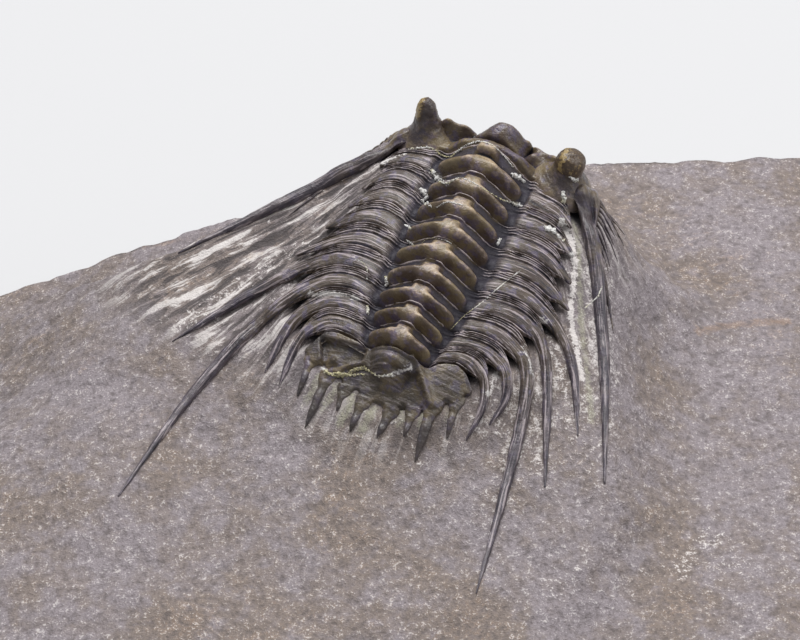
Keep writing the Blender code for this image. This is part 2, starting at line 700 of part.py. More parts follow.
def block_outline(u, v):
    """Plan point of the block for a place in a square from -1 to 1."""
    corner = 1.0 - CORNER_CUT * (u * u * v * v) ** 2
    x = BLOCK_HALF_LENGTH * u * corner
    back = 1.0 - BACK_LEFT_CUT * max(0.0, min(1.0, (BACK_LEFT_START - x) / BACK_LEFT_BLEND)) * max(0.0, v)
    x *= 1.0 - SIDE_WAVE * (1.0 + math.sin(3.1 * v + 0.6)) * abs(u) ** 3
    y = BLOCK_HALF_WIDTH * v * corner * back
    y *= 1.0 - FRONT_WAVE * (1.0 + math.sin(4.3 * u + 1.0)) * abs(v) ** 3
    return x, y


def spaced(count):
    """Places from -1 to 1, closer together in the middle."""
    places = []
    for k in range(count + 1):
        t = 2.0 * k / count - 1.0
        places.append((1.0 - MIDDLE_CROWDING) * t + MIDDLE_CROWDING * t ** 3)
    return places


def make_matrix(material, parent, collection):
    """Limestone block with a rough upper face and a flat sawn base."""
    columns = spaced(BLOCK_COLUMNS)
    rows = spaced(BLOCK_ROWS)
    plan = np.array([[block_outline(u, v) for u in columns] for v in rows])
    low, high = plan.min(axis=(0, 1)), plan.max(axis=(0, 1))
    size = np.array((2.0 * BLOCK_HALF_LENGTH, 2.0 * BLOCK_HALF_WIDTH))
    plan = (plan - 0.5 * (low + high)) * size / (high - low)
    heights = rock_height(plan[:, :, 0], plan[:, :, 1])
    body = bmesh.new()
    top = []
    for j in range(len(rows)):
        row = []
        for i in range(len(columns)):
            row.append(body.verts.new((plan[j, i, 0], plan[j, i, 1], heights[j, i])))
        top.append(row)
    for j in range(len(rows) - 1):
        for i in range(len(columns) - 1):
            body.faces.new((top[j][i], top[j][i + 1], top[j + 1][i + 1], top[j + 1][i]))
    rim = top[0][:-1] + [row[-1] for row in top[:-1]] + top[-1][:0:-1] + [row[0] for row in top[:0:-1]]
    above = rim
    for level, inset in ((LEDGE_SHARE, 0.0), (0.0, WALL_SPREAD)):
        below = []
        for k, vertex in enumerate(rim):
            rough = WALL_ROUGHNESS * (1.0 + math.sin(k * 1.7)) * level
            scale = 1.0 - (inset + rough) / BLOCK_HALF_WIDTH
            below.append(body.verts.new((vertex.co.x * scale, vertex.co.y * scale, vertex.co.z * level)))
        for k in range(len(rim)):
            n = (k + 1) % len(rim)
            body.faces.new((above[k], below[k], below[n], above[n]))
        above = below
    body.faces.new(above)
    return finish_object("matrix", body, material, parent, collection)


def main():
    clear_scene()
    parts = make_collection("fossil_leonaspis_trilobite")
    ground = bpy.data.objects.new("block_frame", None)
    ground.scale = (MM, MM, MM)
    parts.objects.link(ground)
    seat = bpy.data.objects.new("body_frame", None)
    seat.parent = ground
    seat.location = SEAT
    seat.rotation_euler = TILT
    parts.objects.link(seat)
    make_matrix(make_material("limestone", ROCK_COLOUR, ROCK_ROUGHNESS), ground, parts)
    shell = {}
    for name, colour in SHELL_COLOURS.items():
        shell[name] = make_material(f"{name}_shell", colour, SHELL_ROUGHNESS)
    make_cranidium(shell["cranidium"], seat, parts)
    make_cheek("left_free_cheek", -1.0, LEFT_CHEEK_SPINE, shell["cheek"], seat, parts)
    make_cheek("right_free_cheek", 1.0, RIGHT_CHEEK_SPINE, shell["cheek"], seat, parts)
    for index in range(len(RING_Y)):
        make_segment(index, shell["segment"], seat, parts)
    make_pygidium(shell["pygidium"], seat, parts)


main()
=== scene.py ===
"""Fossil Leonaspis trilobite on its block of limestone, finished for a close view.

The animal is shaped in body millimetres: x to its right, y towards its head and
z up from its back. Each finished mesh is then laid on the block, in metres.
"""

import json
import math

import bpy
import numpy as np
from bpy.props import FloatProperty, FloatVectorProperty, PointerProperty
from mathutils import Euler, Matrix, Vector
from mathutils.bvhtree import BVHTree

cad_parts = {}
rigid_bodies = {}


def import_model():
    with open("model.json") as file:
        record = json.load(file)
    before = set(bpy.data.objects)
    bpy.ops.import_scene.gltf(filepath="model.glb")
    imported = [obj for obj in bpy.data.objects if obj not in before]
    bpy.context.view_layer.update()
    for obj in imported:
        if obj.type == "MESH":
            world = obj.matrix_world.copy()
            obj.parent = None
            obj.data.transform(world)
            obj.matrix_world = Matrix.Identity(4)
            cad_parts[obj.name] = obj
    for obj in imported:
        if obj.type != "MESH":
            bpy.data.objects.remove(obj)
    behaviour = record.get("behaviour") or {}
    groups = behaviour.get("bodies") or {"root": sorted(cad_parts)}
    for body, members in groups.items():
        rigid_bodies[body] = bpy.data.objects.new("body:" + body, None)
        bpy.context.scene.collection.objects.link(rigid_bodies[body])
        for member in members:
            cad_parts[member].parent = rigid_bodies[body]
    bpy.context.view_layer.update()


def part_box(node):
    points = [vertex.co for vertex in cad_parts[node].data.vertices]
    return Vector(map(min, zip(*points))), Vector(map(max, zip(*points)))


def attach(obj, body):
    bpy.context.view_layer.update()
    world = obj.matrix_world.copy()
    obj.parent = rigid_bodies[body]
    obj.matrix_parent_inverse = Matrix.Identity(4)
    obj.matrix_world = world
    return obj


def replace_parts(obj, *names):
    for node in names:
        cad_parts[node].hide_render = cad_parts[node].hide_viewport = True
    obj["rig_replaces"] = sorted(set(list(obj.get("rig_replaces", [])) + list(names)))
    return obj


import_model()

bl_info = {
    "name": "Fossil Leonaspis Trilobite",
    "version": (1, 0, 0),
    "blender": (4, 5, 0),
    "location": "View3D > Sidebar > Fossil",
    "description": "Models a spiny trilobite on its block of limestone, piece by piece",
    "category": "Object",
}

# Body frame on the block, in millimetres
MM = 0.001
SEAT = np.array((0.0, 7.0, 23.0))
TILT = (math.radians(22.3), math.radians(7.7), math.radians(-21.5))
TURN = np.array(Euler(TILT, "XYZ").to_matrix())

# Dome that the shell follows
DOME_HALF_WIDTH = 7.6
DOME_FRONT = 12.5
DOME_BACK = 10.6
DOME_MIDDLE_Y = 1.0
DOME_TOP = 0.15
DOME_DROP = 3.15
DOME_SHAPE = 2.6
DOME_STEEPNESS = 6.0
DOME_SHOULDER = 1.17
HEAD_HINGE = 9.5
HEAD_FALL = 1.9
HEAD_BEND = 0.45

# Body rings, from the head back
RING_Y = (6.8, 4.95, 3.3, 1.65, 0.0, -1.6, -3.15, -4.5, -5.8)
RING_HALF_WIDTH = (2.75, 2.62, 2.6, 2.65, 2.6, 2.55, 2.45, 2.2, 1.95)
RING_HEIGHT = (1.75, 1.75, 1.75, 1.72, 1.68, 1.62, 1.5, 1.32, 1.15)
RING_BOW = 0.25
ARCH_SHAPE = 2.1
FURROW_DEPTH = 0.3

# Ribs beyond the rings, in plan: flank, shoulder, edge, then the free spine
RIGHT_RIBS = (
    ((4.0, 6.8), (5.1, 6.7), (6.1, 6.1)),
    ((4.5, 5.2), (5.9, 5.0), (6.9, 4.4)),
    ((4.7, 3.5), (6.1, 3.3), (7.4, 2.7)),
    ((4.9, 2.0), (6.3, 1.8), (7.9, 1.1)),
    ((5.0, 0.4), (6.8, 0.1), (8.3, -0.8), (9.8, -2.6), (11.4, -6.1)),
    ((4.6, -1.1), (6.2, -1.1), (7.5, -2.0), (8.7, -4.2), (10.9, -10.1)),
    ((4.3, -2.7), (5.9, -2.9), (7.2, -3.8), (8.0, -6.2), (8.9, -11.7), (9.9, -18.3)),
    ((3.8, -4.1), (5.1, -4.1), (6.3, -4.8), (6.8, -6.2), (6.5, -7.9)),
    ((3.2, -5.1), (4.4, -5.1), (5.4, -5.9), (5.8, -7.4), (5.6, -9.3)),
)
LEFT_RIBS = (
    ((4.3, 7.0), (5.5, 6.8), (6.2, 6.0)),
    ((4.6, 5.6), (5.8, 5.2), (6.6, 4.1)),
    ((4.5, 4.0), (5.9, 3.6), (6.9, 2.6)),
    ((4.7, 2.3), (6.2, 2.0), (7.7, 1.0)),
    ((4.7, 0.5), (6.6, 0.2), (8.8, -1.1)),
    ((4.6, -1.2), (6.8, -1.3), (8.8, -2.7), (11.0, -5.1), (13.7, -8.9)),
    ((4.6, -2.6), (6.5, -3.0), (8.2, -4.7), (9.8, -7.8), (11.2, -13.0), (12.1, -20.0)),
    ((4.3, -4.1), (5.9, -4.5), (7.1, -6.2), (7.4, -9.3)),
    ((3.8, -5.4), (5.2, -5.6), (6.1, -7.0), (6.2, -9.9)),
)
SPINE_RADIUS = (0.3, 0.3, 0.3, 0.3, 0.34, 0.36, 0.42, 0.36, 0.3)
STUB_RADIUS = 0.15
TIP_RADIUS = 0.05
SPINE_TAPER = 1.7
FRONT_SEAM = ((1.2, 8.35), (2.8, 7.85), (4.2, 7.75), (5.3, 7.6), (6.4, 7.1))
RIGHT_BACK_SEAM = ((1.0, -6.5), (1.95, -6.45), (2.9, -5.75), (4.0, -5.75), (4.9, -6.6))
LEFT_BACK_SEAM = ((1.0, -6.5), (1.95, -6.45), (3.4, -6.15), (4.6, -6.2), (5.5, -7.4))

# Relief from front edge to back edge, in millimetres: top of a ring, its side lobes, a rib
RING_TOP = (
    (-1.0, -0.55), (-0.97, -0.25), (-0.93, -0.02), (-0.88, -0.08), (-0.8, -0.2), (-0.73, -0.24),
    (-0.65, -0.1), (-0.54, 0.07), (-0.38, 0.17), (-0.1, 0.23), (0.25, 0.24), (0.52, 0.16),
    (0.7, 0.0), (0.82, -0.24), (0.91, -0.5), (1.0, -0.75),
)
FIRST_RING_TOP = (
    (-1.0, -0.5), (-0.96, -0.2), (-0.9, 0.1), (-0.78, 0.34), (-0.62, 0.44), (-0.48, 0.36),
    (-0.38, 0.08), (-0.31, -0.18), (-0.24, -0.06), (-0.14, 0.15), (0.1, 0.27), (0.32, 0.25),
    (0.52, 0.16), (0.7, 0.0), (0.82, -0.24), (0.91, -0.5), (1.0, -0.75),
)
RING_LOBE = (
    (-1.0, -0.8), (-0.96, -0.48), (-0.92, -0.32), (-0.87, -0.42), (-0.7, -0.46), (-0.5, -0.46),
    (-0.37, -0.52), (-0.27, -0.58), (-0.19, -0.42), (-0.09, -0.04), (0.04, 0.2), (0.2, 0.32),
    (0.36, 0.31), (0.5, 0.18), (0.62, -0.06), (0.72, -0.38), (0.84, -0.62), (1.0, -0.8),
)
RIB_PROFILE = (
    (-1.0, -0.34), (-0.97, -0.12), (-0.93, 0.03), (-0.88, -0.09), (-0.81, -0.1), (-0.76, 0.02),
    (-0.71, -0.08), (-0.63, -0.07), (-0.56, -0.01), (-0.49, -0.13), (-0.4, -0.15), (-0.3, 0.0),
    (-0.05, 0.07), (0.3, 0.09), (0.58, 0.05), (0.72, -0.02), (0.79, -0.12), (0.86, 0.02),
    (0.93, -0.06), (1.0, -0.36),
)
RIB_LINES = (-0.93, -0.76, -0.56, 0.86)
RING_LINE = -0.93
LOBE_START = 0.12
LOBE_FULL = 0.38
LOBE_END = 0.78
LOBE_CLOSED = 1.03
RING_DROP = 0.4
SHOULDER_KNOB = ((LOBE_START + 0.16, 0.1), 0.11, 0.4, 0.12)
SHELL_THICKNESS = 0.5
PLATE_THICKNESS = 0.45
TOP_STEPS = 54
UNDER_STEPS = 8
ARCH_STATIONS = 89
RIB_STATIONS = 56
RIB_FOOT = (0.25, 0.08)
CHEEK_STATIONS = 150
STATION_SPACING = 0.13

# Head shield
HEAD_BACK = 7.8
HEAD_FRONT = 12.5
HEAD_HALF_WIDTHS = (
    (7.9, 4.15), (8.5, 4.1), (9.2, 4.05), (10.1, 3.85), (10.8, 3.1), (11.4, 2.2), (12.0, 1.7), (12.5, 1.1),
)
NECK_FURROW_Y = 9.05
NECK_FURROW_DEPTH = 0.35
NECK_FURROW_LENGTH = 0.14
NECK_RING_Y = 8.6
NECK_RING_LENGTH = 0.42
NECK_RING_HEIGHT = 1.4
NECK_RING_CROWN = 0.3
NECK_RING_HALF_WIDTH = 2.75
GLABELLA_SHIFT = 0.3
GLABELLA_HALF_WIDTH = 1.75
GLABELLA_HEIGHT = 1.45
GLABELLA_SLOPE = 1.55
GLABELLA_CLIMB_LENGTH = 1.3
BROW_Y = 11.35
BROW_FALL = 4.9
HEAD_KNOBS = (
    ((-2.35, 9.9), 0.85, 0.6, 1.55), ((-3.45, 9.9), 0.85, 0.65, 1.95), ((-2.1, 10.8), 0.7, 0.55, 0.9),
    ((-1.7, 10.1), 0.6, 0.6, 0.75), ((2.3, 9.75), 0.75, 0.6, 1.0), ((3.45, 9.6), 0.8, 0.7, 0.6),
    ((2.25, 10.8), 0.7, 0.55, 0.7),
    ((-1.9, 8.5), 0.55, 0.4, 0.2), ((1.9, 8.5), 0.55, 0.4, 0.2),
)
HEAD_RIDGES = (
    ((-2.3, 11.0), (-4.2, 9.9), 0.28, 0.35), ((1.9, 10.6), (4.6, 9.8), 0.42, 1.55),
)
CHEEK_SUTURE = (
    (0.8, 11.75), (2.1, 11.4), (2.9, 10.8), (3.4, 10.1),
    (3.75, 9.2), (4.3, 8.1), (5.6, 7.9), (6.6, 7.0),
)
CHEEK_MARGIN = (
    (0.9, 12.5), (2.7, 12.4), (4.4, 11.9), (5.7, 11.0),
    (6.5, 9.9), (7.0, 8.8), (7.3, 7.7), (7.7, 6.3),
)
CHEEK_SWELL = 0.35
CHEEK_RIM_HEIGHT = 0.2
CHEEK_RIM_FURROW = 0.16
CHEEK_KNOB = ((6.1, 8.9), 0.95, 1.3, 0.85)
CHEEK_SPINE_RADIUS = 0.5
RIGHT_CHEEK_SPINE = ((8.3, 4.8), (9.6, 2.2), (10.8, -0.3), (12.1, -3.4), (13.1, -6.0), (14.0, -8.4))
LEFT_CHEEK_SPINE = ((8.6, 5.3), (10.0, 3.9), (11.6, 2.2), (13.1, 0.5), (14.7, -1.2), (16.2, -2.7))
EYE_FOOT = (4.45, 9.1)
LEFT_EYE_TOP = (-4.85, 9.9, 1.95)
RIGHT_EYE_TOP = (4.95, 9.75, 1.6)
LEFT_EYE_PROFILE = (
    (-0.25, 1.9), (0.0, 1.5), (0.14, 1.16), (0.3, 0.92), (0.48, 0.74),
    (0.66, 0.66), (0.8, 0.57), (0.9, 0.46), (0.96, 0.3), (0.985, 0.15), (0.99, 0.02),
)
RIGHT_EYE_PROFILE = (
    (-0.3, 2.1), (0.0, 1.75), (0.14, 1.4), (0.26, 1.12), (0.38, 0.95), (0.5, 0.91),
    (0.62, 0.92), (0.78, 0.86), (0.9, 0.68), (0.97, 0.4), (1.0, 0.15), (1.005, 0.02),
)
FRINGE_COUNT = 17
FRINGE_EDGE = (
    (6.3, 10.2), (6.85, 9.2), (7.2, 8.2), (7.5, 7.2), (7.95, 6.1), (8.75, 5.0), (9.5, 3.7),
)
FRINGE_ROOT = (-0.15, 0.02)
FRINGE_HEADING = (0.66, -0.75)
FRINGE_FRONT_TURN = (0.35, 0.9)
FRINGE_BEND = (-0.1, -0.35)
FRINGE_LENGTH = 1.9
FRINGE_UNEVENNESS = 0.2
FRINGE_RADIUS = 0.075

# Tail shield
TAIL_MARGIN = (
    (-5.45, -7.8), (-4.6, -8.45), (-3.0, -9.15), (-1.5, -9.6), (-0.1, -9.95),
    (1.6, -9.5), (2.85, -9.05), (4.0, -8.3), (4.85, -7.1),
)
TAIL_NOTCH = 0.6
TAIL_AXIS_HALF_WIDTH = 1.6
TAIL_AXIS_HEIGHT = 1.15
TAIL_AXIS_FRONT = -6.5
TAIL_AXIS_END = -8.6
TAIL_RING_PITCH = 0.72
TAIL_RING_RELIEF = 0.35
TAIL_RIDGE = ((1.3, -6.5), (3.0, -8.5), 0.32, 0.42)
TAIL_KNOB = ((-3.6, -7.7), 0.3, 0.3, 0.4)
TAIL_FIELD_DEPTH = 0.5
TAIL_BREAK = ((-5.0, -8.9), (-3.9, -8.7), (-1.8, -7.65), (0.1, -7.6), (1.0, -7.4), (1.6, -6.9))
TAIL_BREAK_DEPTH = 0.32
TAIL_COLUMNS = 260
TAIL_ROWS = 90
TAIL_VOXEL = 0.045
TAIL_SPINES = (
    ((-4.9, -8.25), (-4.85, -10.3), 0.22), ((-3.55, -9.1), (-3.65, -12.0), 0.28),
    ((-2.25, -9.5), (-2.2, -10.5), 0.2), ((-0.95, -9.8), (-1.0, -11.4), 0.26),
    ((0.8, -9.85), (0.65, -11.2), 0.26), ((2.1, -9.4), (2.15, -10.6), 0.22),
    ((3.1, -8.7), (3.3, -11.7), 0.34), ((4.3, -7.9), (4.55, -9.8), 0.24),
)

# Limestone block
BLOCK_HALF_LENGTH = 38.0
BLOCK_HALF_WIDTH = 30.0
BLOCK_MARGIN = 0.25
BED_HEIGHT = 14.0
BED_SLOPE_BEHIND = 0.1
BED_SLOPE_BEFORE = 0.15
LEFT_FALL = 0.34
DEPTH_UNDER_SHELL = 0.85
DEPTH_BESIDE_SHELL = 0.22
DEPTH_AT_SPINES = 0.1
MOUND_FALL = 1.3
MOUND_STEEP_FALL = 2.2
MOUND_STEEP_END = -4.0
MOUND_BLEND = 4.5
MOUND_RIGHT = (
    (-30.0, 14.0), (-20.0, 15.5), (-9.0, 14.8), (-4.0, 12.8), (2.0, 9.9),
    (6.0, 8.3), (8.0, 7.6), (10.0, 6.6), (12.0, 4.5),
)
MOUND_RIDGE = (
    (-40.0, -14.0), (-26.3, -7.7), (-19.4, -4.2), (-16.4, -2.6), (-13.1, 0.8),
    (-9.3, 5.1), (-7.2, 7.8), (-6.0, 10.0), (-4.0, 13.0),
)
MOUND_LEFT = -16.4
MOUND_LEFT_FALL = 0.7
BLOCK_COLUMNS = 300
BLOCK_ROWS = 250
COLUMN_CROWDING = (0.0, 0.45, 3.2)
ROW_CROWDING = (0.12, 0.62, 2.2)
CORNER_ROUNDING = 0.07
BACK_NARROWING = 0.17
END_WAVE = 0.015
SIDE_WAVE = 0.02
BED_WAVE = 0.35
FIRST_DEPTH = 0.6
SURFACE_ROUNDS = 16
DISTANCE_ROUNDS = (6, 14)
WALL_LEVELS = (0.98, 0.94, *(round(0.88 - 0.07 * k, 2) for k in range(13)), 0.0)
STREAK_SOURCE = (0.0, 13.0)
STREAK_STRETCH = 0.22
STREAK_CROWDING = 14.0
CHEEK_SPINE_ROOT = (0.0, 7.5)
CRUST_VOXEL = 0.026

# Photograph's view, used to place marks that only the photograph gives
VIEW_PLACE = Vector((-0.00228, -0.1832, 0.1524))
VIEW_DOWN = math.radians(35.0)
VIEW_LENS = 172.8
VIEW_SENSOR = 36.0
VIEW_PIXELS = (800, 640)

# Lamps: place, target and size in metres
KEY_LAMP = ((-0.05, 0.16, 0.55), (0.0, 0.01, 0.02), 0.35)
RIM_LAMP = ((0.35, -0.05, 0.3), (0.0, 0.005, 0.02), 0.3)
SKY_COLOUR = (0.95, 0.96, 1.0, 1.0)

# Pale calcite on rock and shell: photograph pixels, half width in millimetres, strength
CALCITE_BANDS = (
    (((561, 222), (568, 233), (573, 249), (574, 278), (571, 318), (576, 345), (582, 378)), 0.2, 0.95),
    (((541, 318), (552, 345), (560, 372), (566, 396)), 0.25, 0.55),
    (((524, 345), (532, 370), (537, 400)), 0.25, 0.5),
    (((497, 372), (493, 384), (489, 394)), 0.25, 0.7),
    (((306, 245), (270, 266), (225, 294), (172, 330)), 0.8, 0.4),
    (((305, 276), (284, 290), (262, 304)), 0.35, 0.45),
    (((376, 165), (388, 160), (404, 154)), 0.16, 0.75),
    (((312, 294), (332, 294), (356, 299)), 0.22, 0.75),
    (((684, 572), (695, 552), (716, 538)), 0.9, 0.42),
    (((708, 556), (736, 566)), 0.8, 0.36),
    (((556, 590), (566, 576), (574, 562)), 1.0, 0.3),
    (((340, 470), (380, 500), (420, 470)), 2.2, 0.16),
    (((430, 171), (440, 176), (447, 183)), 0.2, 0.5),
    (((392, 375), (400, 371), (410, 368)), 0.2, 0.5),
)
OCHRE_BANDS = (
    (((698, 331), (726, 326), (756, 322), (785, 322)), 0.35, 0.7),
    (((120, 250), (200, 236), (280, 205), (350, 178)), 0.5, 0.5),
    (((150, 300), (200, 280), (260, 250), (330, 210)), 0.6, 0.4),
    (((232, 330), (246, 350), (256, 372)), 0.9, 0.3),
    (((420, 440), (450, 470), (480, 480)), 1.1, 0.25),
    (((640, 215), (700, 235), (760, 290), (790, 370)), 2.6, 0.3),
    (((660, 420), (740, 470), (790, 460)), 2.4, 0.22),
    (((20, 300), (60, 350), (130, 420)), 2.4, 0.26),
    (((250, 470), (320, 520), (300, 600)), 2.2, 0.2),
)
GREEN_BANDS = (
    (((572, 215), (578, 245), (580, 290), (582, 330), (588, 380), (592, 420)), 0.28, 0.62),
    (((318, 376), (312, 392), (306, 402)), 0.3, 0.6),
    (((336, 386), (330, 398), (322, 410)), 0.3, 0.6),
    (((352, 395), (348, 408), (340, 422)), 0.35, 0.65),
    (((373, 408), (368, 420), (362, 430)), 0.35, 0.65),
    (((402, 411), (400, 424)), 0.35, 0.6),
    (((423, 411), (420, 426)), 0.3, 0.6),
    (((450, 405), (446, 422)), 0.3, 0.5),
)

# Raised crust of calcite: photograph pixels and radius in millimetres
CRUST_SEAMS = (
    (((409, 149), (431, 148), (441, 155), (450, 157), (456, 153), (467, 145), (478, 141)), 0.06),
    (((478, 141), (490, 144), (502, 154), (513, 167)), 0.04),
    (((432, 170), (437, 178), (444, 181)), 0.13),
    (((437, 181), (447, 183), (459, 178), (470, 181), (482, 188), (503, 200), (518, 203)), 0.05),
    (((512, 174), (519, 178), (525, 182)), 0.12),
    (((513, 203), (521, 206)), 0.09),
    (((421, 189), (427, 196), (423, 202), (431, 206)), 0.14),
    (((436, 208), (447, 202), (462, 205)), 0.035),
    (((405, 225), (411, 229)), 0.07),
    (((407, 240), (413, 245)), 0.07),
    (((418, 246), (430, 238), (444, 240), (452, 244)), 0.03),
    (((546, 227), (554, 232), (563, 240)), 0.15),
    (((563, 192), (564, 203)), 0.13),
    (((450, 330), (464, 316), (480, 304), (496, 290), (508, 280), (520, 271)), 0.032),
    (((355, 259), (362, 262), (367, 269), (367, 279)), 0.03),
    (((386, 277), (387, 284)), 0.11),
    (((367, 306), (368, 314)), 0.09),
    (((500, 239), (497, 244)), 0.1),
    (((585, 308), (592, 302), (598, 296), (602, 287)), 0.04),
    (((322, 368), (330, 374), (344, 376), (352, 371), (361, 368), (369, 371), (379, 376), (392, 375)), 0.09),
    (((336, 373), (350, 375), (364, 374)), 0.1),
    (((570, 177), (577, 181)), 0.1),
)


# Patterns of shell and rock: scale of the noise, in repeats a millimetre
SHELL_MOTTLE = 0.5
SHELL_CLOUD = 1.6
SHELL_GRAIN = 6.5
SHELL_STREAKS = (0.45, 7.5)
ROCK_PATCH = 0.13
ROCK_CLOUD = 0.65
ROCK_SPECKLE = 2.4
ROCK_GRIT = 8.0
ROCK_STREAKS = (1.0, 2.0)
CRUST_GRAIN = 6.0
CRUST_TINT = 0.45

# Fixed tints beside the colours that the panel offers
RIB_DARK = (0.05, 0.036, 0.034)
RIB_OLIVE = (0.08, 0.07, 0.036)
SPINE_TINT = (0.062, 0.05, 0.066)
SHADE = (0.03, 0.025, 0.034)
TAIL_SHADE = (0.04, 0.036, 0.027)
# Painted shade in the drops of the rings, the feet at the furrow and the sunken tail
DROP_SHADE = (0.024, 0.02, 0.03)
FACET_BROWN = (0.06, 0.038, 0.022)
SHELL_DUST = (0.56, 0.54, 0.52)
PALE_MAUVE = (0.3, 0.27, 0.31)
WASHED_BROWN = (0.17, 0.14, 0.13)
STREAK_BROWN = (0.06, 0.05, 0.05)
# Painted shade on the rock inside the shell's outline
SHADE_UNDER_SHELL = (0.02, 0.017, 0.02)
CRUST_WHITE = (0.62, 0.61, 0.59)
CRUST_YELLOW = (0.46, 0.42, 0.24)
CRUST_PIT = (0.17, 0.15, 0.13)
FLOOR_CLOUD = (0.44, 0.44, 0.44)


def colour_field(name, description, default):
    """Property for one colour of a settings group."""
    return FloatVectorProperty(
        name=name, description=description, subtype="COLOR", size=3, min=0.0, max=1.0, default=default)


class ShellSettings(bpy.types.PropertyGroup):
    """Colours and finish of the animal's shell."""

    olive: colour_field("Olive", "Main colour of the ribs and rings", (0.15, 0.113, 0.062))
    umber: colour_field("Umber", "Darker brown of the shell", (0.085, 0.058, 0.04))
    # Laid on in patches as a painted sheen
    purple_sheen: colour_field("Violet", "Cool tint of the spines and thin ribs", (0.085, 0.068, 0.125))
    # Painted shade: near-black for hollows, also used for dark streaks on the ribs
    furrow_shade: colour_field("Crease", "Colour deep in the furrows", (0.011, 0.009, 0.016))
    # Also the colour of the painted highlight on crests and ring tops
    rubbed_and_highlight: colour_field("Worn crest", "Colour of rubbed crests", (0.37, 0.28, 0.18))
    line: colour_field("Line", "Pale pinkish colour of thin raised edges", (0.42, 0.36, 0.37))
    eye: colour_field("Eye", "Yellowish olive of the eyes", (0.26, 0.185, 0.075))
    roughness: FloatProperty(
        name="Roughness", description="Roughness of the clean shell",
        subtype="FACTOR", min=0.0, max=1.0, default=0.36)
    relief: FloatProperty(
        name="Relief", description="Height of the fine unevenness of the shell",
        unit="LENGTH", min=0.0, max=0.001, precision=6, default=0.00009)


class RockSettings(bpy.types.PropertyGroup):
    """Colours and grain of the limestone."""

    mauve: colour_field("Mauve", "Main grey mauve of the limestone", (0.23, 0.2, 0.212))
    brown: colour_field("Brown", "Brown patches of the limestone", (0.185, 0.148, 0.128))
    # Also the colour of the painted shade in the rock's hollows
    dark: colour_field("Dark grain", "Dark grains and pits", (0.085, 0.07, 0.068))
    ochre: colour_field("Ochre", "Rusty stains", (0.27, 0.165, 0.09))
    green: colour_field("Grey green", "Greenish rock beside the spines", (0.3, 0.29, 0.215))
    calcite: colour_field("Calcite", "Pale calcite", (0.62, 0.58, 0.56))
    grain: FloatProperty(
        name="Grain", description="Height of the finest grain of the top",
        unit="LENGTH", min=0.0, max=0.001, precision=6, default=0.00014)


class StudioSettings(bpy.types.PropertyGroup):
    """Floor, lights and camera."""

    floor: colour_field("Floor", "Pale floor under the block", (0.47, 0.47, 0.475))
    fill: FloatProperty(
        name="Fill", description="Strength of the even light from all round",
        min=0.0, max=5.0, default=0.38)
    key_power: FloatProperty(
        name="Key power", description="Power of the large lamp overhead",
        unit="POWER", min=0.0, max=100.0, default=4.3)
    rim_power: FloatProperty(
        name="Rim power", description="Power of the lamp behind the head",
        unit="POWER", min=0.0, max=100.0, default=1.0)
    lens: FloatProperty(
        name="Lens", description="Focal length of the camera, in millimetres",
        min=10.0, max=400.0, default=VIEW_LENS)
    floor_size: FloatProperty(
        name="Floor size", description="Length of the square floor",
        unit="LENGTH", min=0.1, max=20.0, default=6.0)


class Wire:
    """A socket in a material; arithmetic on it adds Math nodes."""

    def __init__(self, paint, socket):
        self.paint = paint
        self.socket = socket

    def joined(self, operation, first, second):
        return self.paint.node("ShaderNodeMath", {"operation": operation}, {0: first, 1: second})

    def __add__(self, other):
        return self.joined("ADD", self, other)

    def __radd__(self, other):
        return self.joined("ADD", other, self)

    def __sub__(self, other):
        return self.joined("SUBTRACT", self, other)

    def __rsub__(self, other):
        return self.joined("SUBTRACT", other, self)

    def __mul__(self, other):
        return self.joined("MULTIPLY", self, other)

    def __rmul__(self, other):
        return self.joined("MULTIPLY", other, self)


class Paint:
    """One material and its node tree."""

    def __init__(self, name):
        self.material = bpy.data.materials.new(name)
        self.material.use_nodes = True
        self.tree = self.material.node_tree
        self.shader = self.tree.nodes["Principled BSDF"]

    def node(self, kind, settings, sockets, output=0):
        made = self.tree.nodes.new(kind)
        for key, value in settings.items():
            setattr(made, key, value)
        for key, value in sockets.items():
            self.feed(made.inputs[key], value)
        return Wire(self, made.outputs[output])

    def feed(self, socket, value):
        if isinstance(value, Wire):
            self.tree.links.new(value.socket, socket)
        else:
            socket.default_value = value

    def body(self, scale=1000.0):
        """Object coordinates of the finished piece, in millimetres unless scaled otherwise."""
        place = self.node("ShaderNodeTexCoord", {}, {}, output="Object")
        return self.node("ShaderNodeMapping", {}, {"Vector": place, "Scale": (scale, scale, scale)})

    def lay(self, name, along, across):
        """The piece's own lengthwise and crosswise measure, stretched."""
        place = self.node("ShaderNodeUVMap", {"uv_map": name}, {})
        return self.node("ShaderNodeMapping", {}, {"Vector": place, "Scale": (along, across, 1.0)})

    def noise(self, vector, scale, detail=3.0, roughness=0.55, distortion=0.0):
        sockets = {
            "Vector": vector, "Scale": scale, "Detail": detail,
            "Roughness": roughness, "Distortion": distortion,
        }
        return self.node("ShaderNodeTexNoise", {}, sockets)

    def step(self, value, low, high):
        """Smooth rise from 0 at low to 1 at high."""
        sockets = {0: value, 1: low, 2: high, 3: 0.0, 4: 1.0}
        return self.node("ShaderNodeMapRange", {"interpolation_type": "SMOOTHSTEP"}, sockets)

    def mark(self, name):
        return self.node("ShaderNodeAttribute", {"attribute_name": name}, {}, output="Fac")

    def mix(self, share, first, second):
        """Colour between two, each a socket or three numbers."""
        first, second = (end if isinstance(end, Wire) else (*end, 1.0) for end in (first, second))
        return self.node("ShaderNodeMix", {"data_type": "RGBA"}, {0: share, 6: first, 7: second}, output=2)

    def bump(self, height, strength, distance):
        sockets = {"Strength": strength, "Distance": distance, "Height": height}
        return self.node("ShaderNodeBump", {}, sockets)


